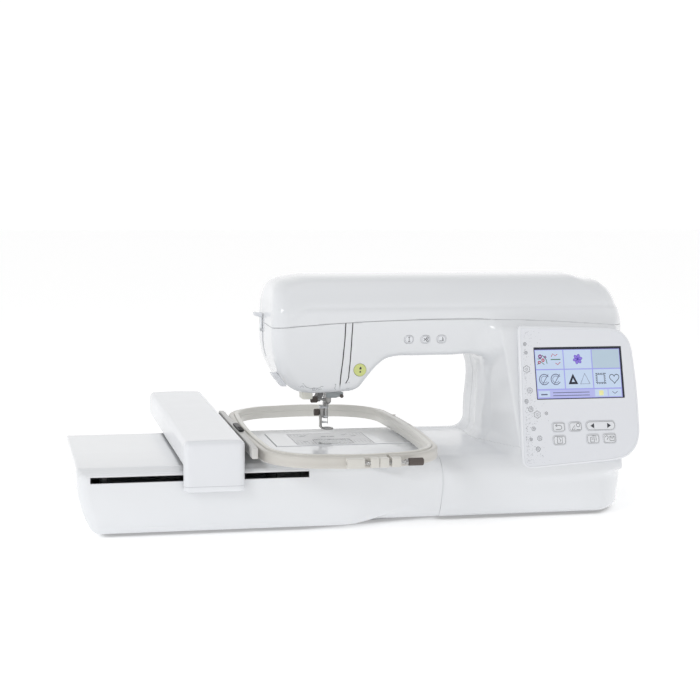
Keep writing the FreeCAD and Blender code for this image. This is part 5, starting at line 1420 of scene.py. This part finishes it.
def make_handwheel():
    outline = []
    for k in range(144):
        a = 2 * math.pi * k / 144
        r = 24.5 - 1.1 * max(0.0, math.cos(24 * a)) ** 2
        outline.append((r * math.cos(a), 211 + r * math.sin(a)))
    rim = stack(outline, [(1.6, 372), (0.4, 372.3), (0, 373.2), (0, 385.4), (0.5, 386.9), (1.6, 387.8),
                          (3.0, 388),
                          (4.6, 387.6), (5.6, 386.4), (6.4, 384.6), (9, 384.2)], flat("yz"))
    hub = lathe([(9, 383.6), (9.4, 384.4), (9, 385.6), (7.6, 386.2), (0, 386.4)], "x", (0, 0, 211), 48)
    piece(make("handwheel_rim", *joined([rim, hub]), WHEEL, sharp=32), "spindle", "white_gloss",
          "handwheel")


def make_small_parts():
    """Lamp cover, threader lever and the fine line round the carriage's foot."""
    lamp = stack(round_box(-40, -26, -32, -8, 3, 6), [(1.6, 143), (0.5, 143.3), (0, 144.2), (0, 154.2),
                                                      (0.3, 154.6)],
                 flat("xy"))
    piece(make("lamp_lens", *lamp, LAMP, sharp=35), "machine", "lamp_clear", "lamp_cover")
    profile = [(-95, 251), (-95, 247.4), (-93.8, 246.6), (-83.8, 243.2), (-83.6, 244), (-83.6, 249.6),
               (-84.2, 250.1)]
    tab = stack([(u, v) for u, v in profile], rounded(0.8, 18, 26), lambda u, v, w: (u, w, v))
    stem = block(-85.8, -77.2, 19, 25, 226, 230, 0.4)
    web = block(-85.8, -83.6, 19, 25, 226.2, 248, 0.3, 0.6)
    piece(make("lever_tab", *joined([tab, stem, web]), KEY, sharp=35), "threader_slider", "white_gloss",
          "threader_lever")
    line = round_box(-210.03, -136.97, -187.53, -100, 8.0, 8)
    path = [p for p in line if p[1] < -174.6]
    verts = [(u, v, 65.6) for u, v in path] + [(u, v, 66.1) for u, v in path]
    n = len(path)
    order = sorted(range(n), key=lambda i: math.atan2(path[i][0] + 173.5, -(path[i][1] + 150)))
    faces = [(order[i], order[i + 1], n + order[i + 1], n + order[i]) for i in range(n - 1)]
    piece(make("carriage_line", verts, faces, INK_PALE, smooth=False), "carriage", "white_gloss")


# ---------------------------------------------------------------------------
# Camera, light and floor
# ---------------------------------------------------------------------------
def make_camera():
    """Camera at the height and distance of a studio photograph of the whole machine."""
    yaw, pitch, roll = (math.radians(a) for a in (12.42, -6.96, 0.61))
    side = Vector((math.cos(yaw), -math.sin(yaw), 0))
    ahead = Vector((math.sin(yaw), math.cos(yaw), 0))
    look = ahead * math.cos(pitch) + Vector((0, 0, math.sin(pitch)))
    up = Vector((0, 0, math.cos(pitch))) - ahead * math.sin(pitch)
    right = side * math.cos(roll) + up * math.sin(roll)
    up = up * math.cos(roll) - side * math.sin(roll)
    camera = bpy.data.cameras.new("camera")
    camera.lens = 87.04
    camera.sensor_width = 36.0
    camera.clip_end = 50
    obj = bpy.data.objects.new("camera", camera)
    turn = Matrix((right, up, -look)).transposed().to_4x4()
    obj.matrix_world = Matrix.Translation(NEEDLE + Vector((-441.2, -2134.3, 468.8)) * MM) @ turn
    bpy.context.scene.collection.objects.link(obj)
    bpy.context.scene.camera = obj


def area(name, place, target, width, height, power, colour=(1, 1, 1)):
    """Soft box aimed at a point, in metres."""
    light = bpy.data.lights.new(name, "AREA")
    light.shape = "RECTANGLE"
    light.size, light.size_y = width, height
    light.energy = power
    light.color = colour
    obj = bpy.data.objects.new(name, light)
    aim = Vector(target) - Vector(place)
    obj.matrix_world = Matrix.Translation(Vector(place)) @ aim.to_track_quat("-Z", "Y").to_matrix().to_4x4()
    bpy.context.scene.collection.objects.link(obj)
    return obj


FRONT_LIGHT = 0.71


def make_studio():
    world = bpy.data.worlds.new("studio")
    world.use_nodes = True
    tree = world.node_tree
    back = tree.nodes["Background"]
    back.inputs["Color"].default_value = (1, 1, 1, 1)
    where = tree.nodes.new("ShaderNodeTexCoord")
    split = tree.nodes.new("ShaderNodeSeparateXYZ")
    tree.links.new(where.outputs["Generated"], split.inputs["Vector"])
    dim = tree.nodes.new("ShaderNodeMapRange")
    dim.inputs["From Min"].default_value = -0.75
    dim.inputs["From Max"].default_value = 0.25
    dim.inputs["To Min"].default_value = FRONT_LIGHT
    dim.inputs["To Max"].default_value = 1.08
    tree.links.new(split.outputs["Y"], dim.inputs["Value"])
    above = tree.nodes.new("ShaderNodeMapRange")
    above.inputs["From Min"].default_value = 0.12
    above.inputs["From Max"].default_value = 0.9
    above.inputs["To Min"].default_value = 1.0
    above.inputs["To Max"].default_value = 0.62
    tree.links.new(split.outputs["Z"], above.inputs["Value"])
    both = tree.nodes.new("ShaderNodeMath")
    both.operation = "MULTIPLY"
    tree.links.new(dim.outputs["Result"], both.inputs[0])
    tree.links.new(above.outputs["Result"], both.inputs[1])
    tree.links.new(both.outputs["Value"], back.inputs["Strength"])
    bpy.context.scene.world = world
    view = bpy.context.scene.view_settings
    view.view_transform = "Standard"
    view.look = "None"
    area("key_light", (-1.7, -1.5, 1.3), (0.05, 0, 0.1), 0.6, 0.6, 10)
    area("top_light", (0.2, 0.0, 2.4), (0, 0, 0.1), 1.6, 1.0, 2)
    area("right_light", (2.0, -0.9, 1.2), (0.1, 0, 0.15), 1.2, 1.6, 2)
    bpy.ops.mesh.primitive_plane_add(size=14, location=(0, 0, -0.0002))
    floor = bpy.context.object
    floor.name = "floor"
    m = bpy.data.materials.new("floor_white")
    m.use_nodes = True
    shader = m.node_tree.nodes["Principled BSDF"]
    shader.inputs["Base Color"].default_value = (0.96, 0.96, 0.96, 1)
    shader.inputs["Emission Color"].default_value = (1, 1, 1, 1)
    shader.inputs["Emission Strength"].default_value = 0.3
    shader.inputs["Roughness"].default_value = 0.7
    shader.inputs["Specular IOR Level"].default_value = 0.1
    floor.data.materials.append(m)


# ---------------------------------------------------------------------------
# Finish of the pieces kept from the CAD model
# ---------------------------------------------------------------------------
KEPT = {
    "top_deck": DECK_GREY, "spool_pin": KEY, "bobbin_winder": STEEL, "base_floor": INNER_GREY,
    "power_inlet": BLACK, "power_switch": BLACK, "free_arm_casing": WHITE, "needle_plate": PLATE,
    "bobbin_cover": CLEAR, "rotary_hook": STEEL, "bobbin_case": BLACK, "bobbin": CLEAR, "cast_frame": CAST,
    "main_shaft": STEEL, "handwheel": KEY, "lower_shaft": STEEL, "drive_motor": MOTOR,
    "motor_pulley": STEEL,
    "drive_belts": RUBBER, "needle_bar": STEEL, "needle_clamp": TURNED, "needle": STEEL,
    "presser_bar": STEEL,
    "embroidery_foot": STEEL, "foot_screw": TURNED, "presser_lever": BLACK, "take_up_lever": STEEL,
    "threader_lever": KEY, "threader_bar": STEEL, "thread_cutter": KEY, "lamp_cover": LAMP,
    "panel_housing": PANEL_WHITE, "panel_film": FILM, "lcd_screen": BLACK, "unit_floor": INNER_GREY,
    # The carriage base is near-black: partly its own dark, partly painted shade behind the unit's slot.
    "rubber_feet": RUBBER, "unit_rails": STEEL, "carriage_base": SLOT_SHADE_BLACK, "frame_holder": HOLDER,
    "frame_lever": BLACK, "inner_frame": HOOP_PALE, "outer_frame": HOOP, "frame_screw": TAUPE,
    "start_key": GREEN, "needle_key": KEY, "cut_key": KEY, "presser_key": KEY, "panel_key_home": KEY,
    "panel_key_frame": KEY, "panel_key_page": KEY, "panel_key_trial": KEY, "panel_key_memory": KEY,
    "panel_key_help": KEY,
}


def finish_kept():
    for node, m in KEPT.items():
        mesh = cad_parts[node].data
        mesh.materials.clear()
        mesh.materials.append(m)


finish_kept()
make_body()
make_unit()
make_carriage()
make_arm_keys()
make_head_print()
make_panel()
make_hoop()
make_holder()
make_plate_print()
make_needle_parts()
make_foot()
make_handwheel()
make_small_parts()
make_camera()
make_studio()
